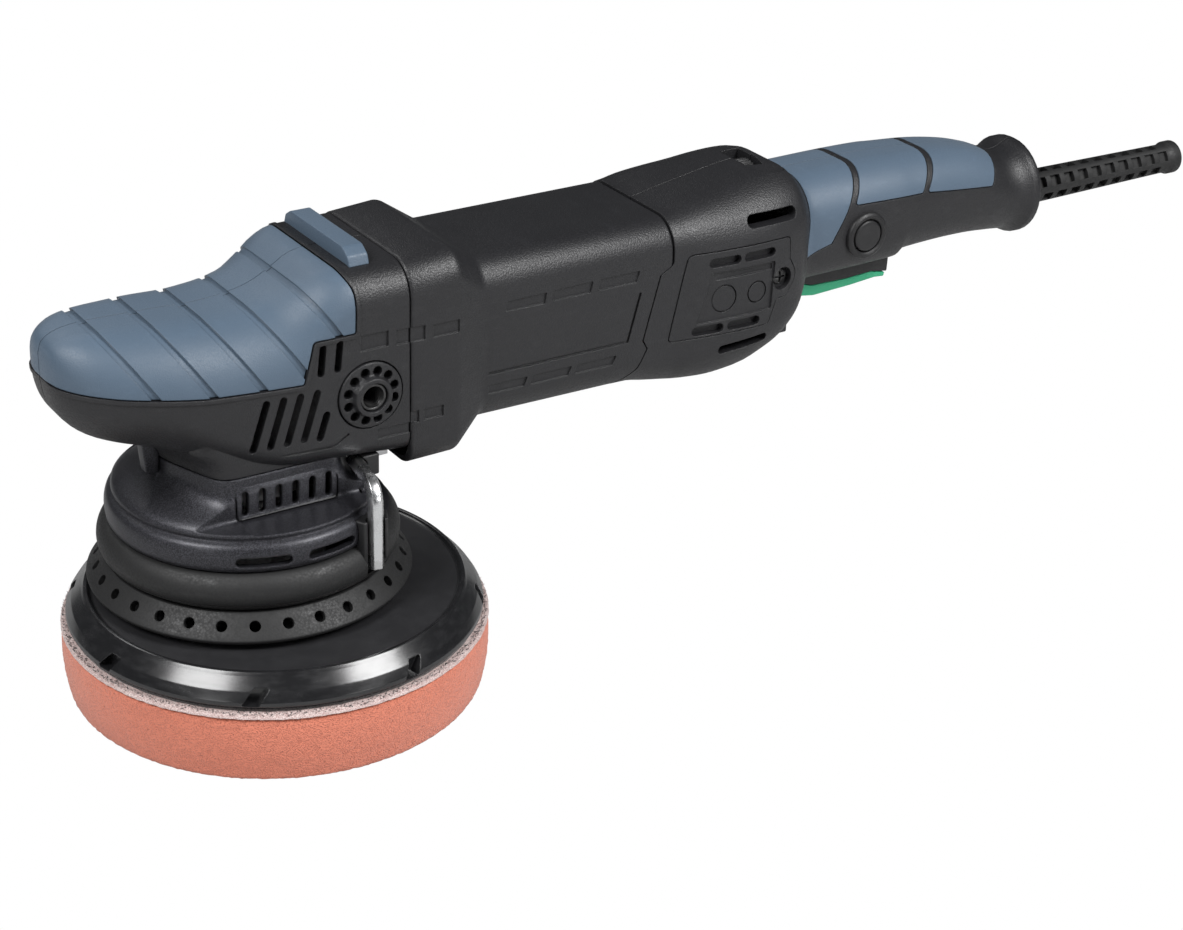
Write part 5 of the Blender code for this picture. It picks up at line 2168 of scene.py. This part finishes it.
@dataclass
class Studio:
    """Grey floor, white surroundings, soft lights and the camera.

    Attributes:
        azimuth: camera's angle round the tool, degrees.
        elevation: its angle above the floor, degrees.
        roll: its turn about its own axis, degrees.
        distance: distance from the target, mm.
        target: point that it faces, mm.
        focal_columns: focal length, as a count of image columns.
        image_width: image columns.
        sensor: sensor width, mm.
        aim: point that the lights face, metres.
        lights: the soft lights.
        glow: strength of the surroundings as a light.
    """

    azimuth: float = -33.629
    elevation: float = 26.438
    roll: float = 1.967
    distance: float = 950.19
    target: tuple[float, float, float] = (142.79, 0.0, 43.67)
    focal_columns: float = 2500.0
    image_width: int = 1183
    sensor: float = 36.0
    aim: tuple[float, float, float] = (0.12, 0.0, 0.08)
    lights: Sequence[Softbox] = (
        Softbox("box_left", (-0.77, -0.20, 0.98), (0.5, 0.5), 12.0),
        Softbox("box_right", (0.56, -0.74, 0.92), (0.5, 0.5), 15.0),
        Softbox("low_left", (-1.15, -0.70, 0.42), (0.35, 0.5), 1.6),
        Softbox("low_right", (0.45, -1.35, 0.40), (0.45, 0.35), 1.6),
        Softbox("rim", (-0.20, 0.90, 1.10), (0.9, 0.3), 3.0),
    )
    glow: float = 0.06

    def camera(self) -> None:
        """Place the camera on its orbit round the target."""
        az, el, roll = (math.radians(v) for v in (self.azimuth, self.elevation, self.roll))
        back = Vector((math.sin(az) * math.cos(el), -math.cos(az) * math.cos(el), math.sin(el)))
        level = Vector((math.cos(az), math.sin(az), 0.0))
        raised = back.cross(level)
        right = level * math.cos(roll) + raised * math.sin(roll)
        up = raised * math.cos(roll) - level * math.sin(roll)
        data = bpy.data.cameras.new("camera")
        data.sensor_width = self.sensor
        data.lens = self.focal_columns / self.image_width * self.sensor
        data.clip_start, data.clip_end = 0.05, 20.0
        camera = bpy.data.objects.new("camera", data)
        place = (Vector(self.target) + back * self.distance) * MM
        camera.matrix_world = Matrix.Translation(place) @ Matrix((right, up, back)).transposed().to_4x4()
        bpy.context.scene.collection.objects.link(camera)
        bpy.context.scene.camera = camera

    def floor(self) -> None:
        """Add the flat floor sheet, hidden from the camera."""
        bpy.ops.mesh.primitive_plane_add(size=8.0, location=(0, 0, 0))
        sheet = adopt("studio_floor")
        with editing(sheet):
            bpy.ops.mesh.subdivide(number_cuts=20)
        sheet.data.materials.append(PAINTS.material(Paintbox.FLOOR))
        sheet.visible_camera = False

    def build(self) -> None:
        """Set up the studio."""
        self.camera()
        self.floor()
        for light in self.lights:
            light.hang(self.aim)
        self.surroundings()
        bpy.context.scene.view_settings.view_transform = "Standard"

    def surroundings(self) -> None:
        """Make the world white behind the tool, and a dim light everywhere else."""
        world = bpy.data.worlds.new("studio")
        world.use_nodes = True
        tree = world.node_tree
        seen, dim = tree.nodes["Background"], tree.nodes.new("ShaderNodeBackground")
        seen.inputs["Strength"].default_value = 1.0
        seen.inputs["Color"].default_value = (1.0, 1.0, 1.0, 1.0)
        dim.inputs["Color"].default_value = (0.92, 0.96, 1.0, 1.0)
        dim.inputs["Strength"].default_value = self.glow
        path, mix = tree.nodes.new("ShaderNodeLightPath"), tree.nodes.new("ShaderNodeMixShader")
        tree.links.new(path.outputs["Is Camera Ray"], mix.inputs[0])
        tree.links.new(dim.outputs[0], mix.inputs[1])
        tree.links.new(seen.outputs[0], mix.inputs[2])
        tree.links.new(mix.outputs[0], tree.nodes["World Output"].inputs["Surface"])
        bpy.context.scene.world = world


def main() -> None:
    """Build the studio and every sub-assembly."""
    logging.basicConfig(level=logging.INFO, format="%(name)s: %(message)s")
    for assembly in (Studio(), InnerWorks(), PadStack(), Skirt(), Head(), MotorHousing(), Handle()):
        log.info("building %s", type(assembly).__name__)
        assembly.build()


if __name__ == "__main__":
    main()
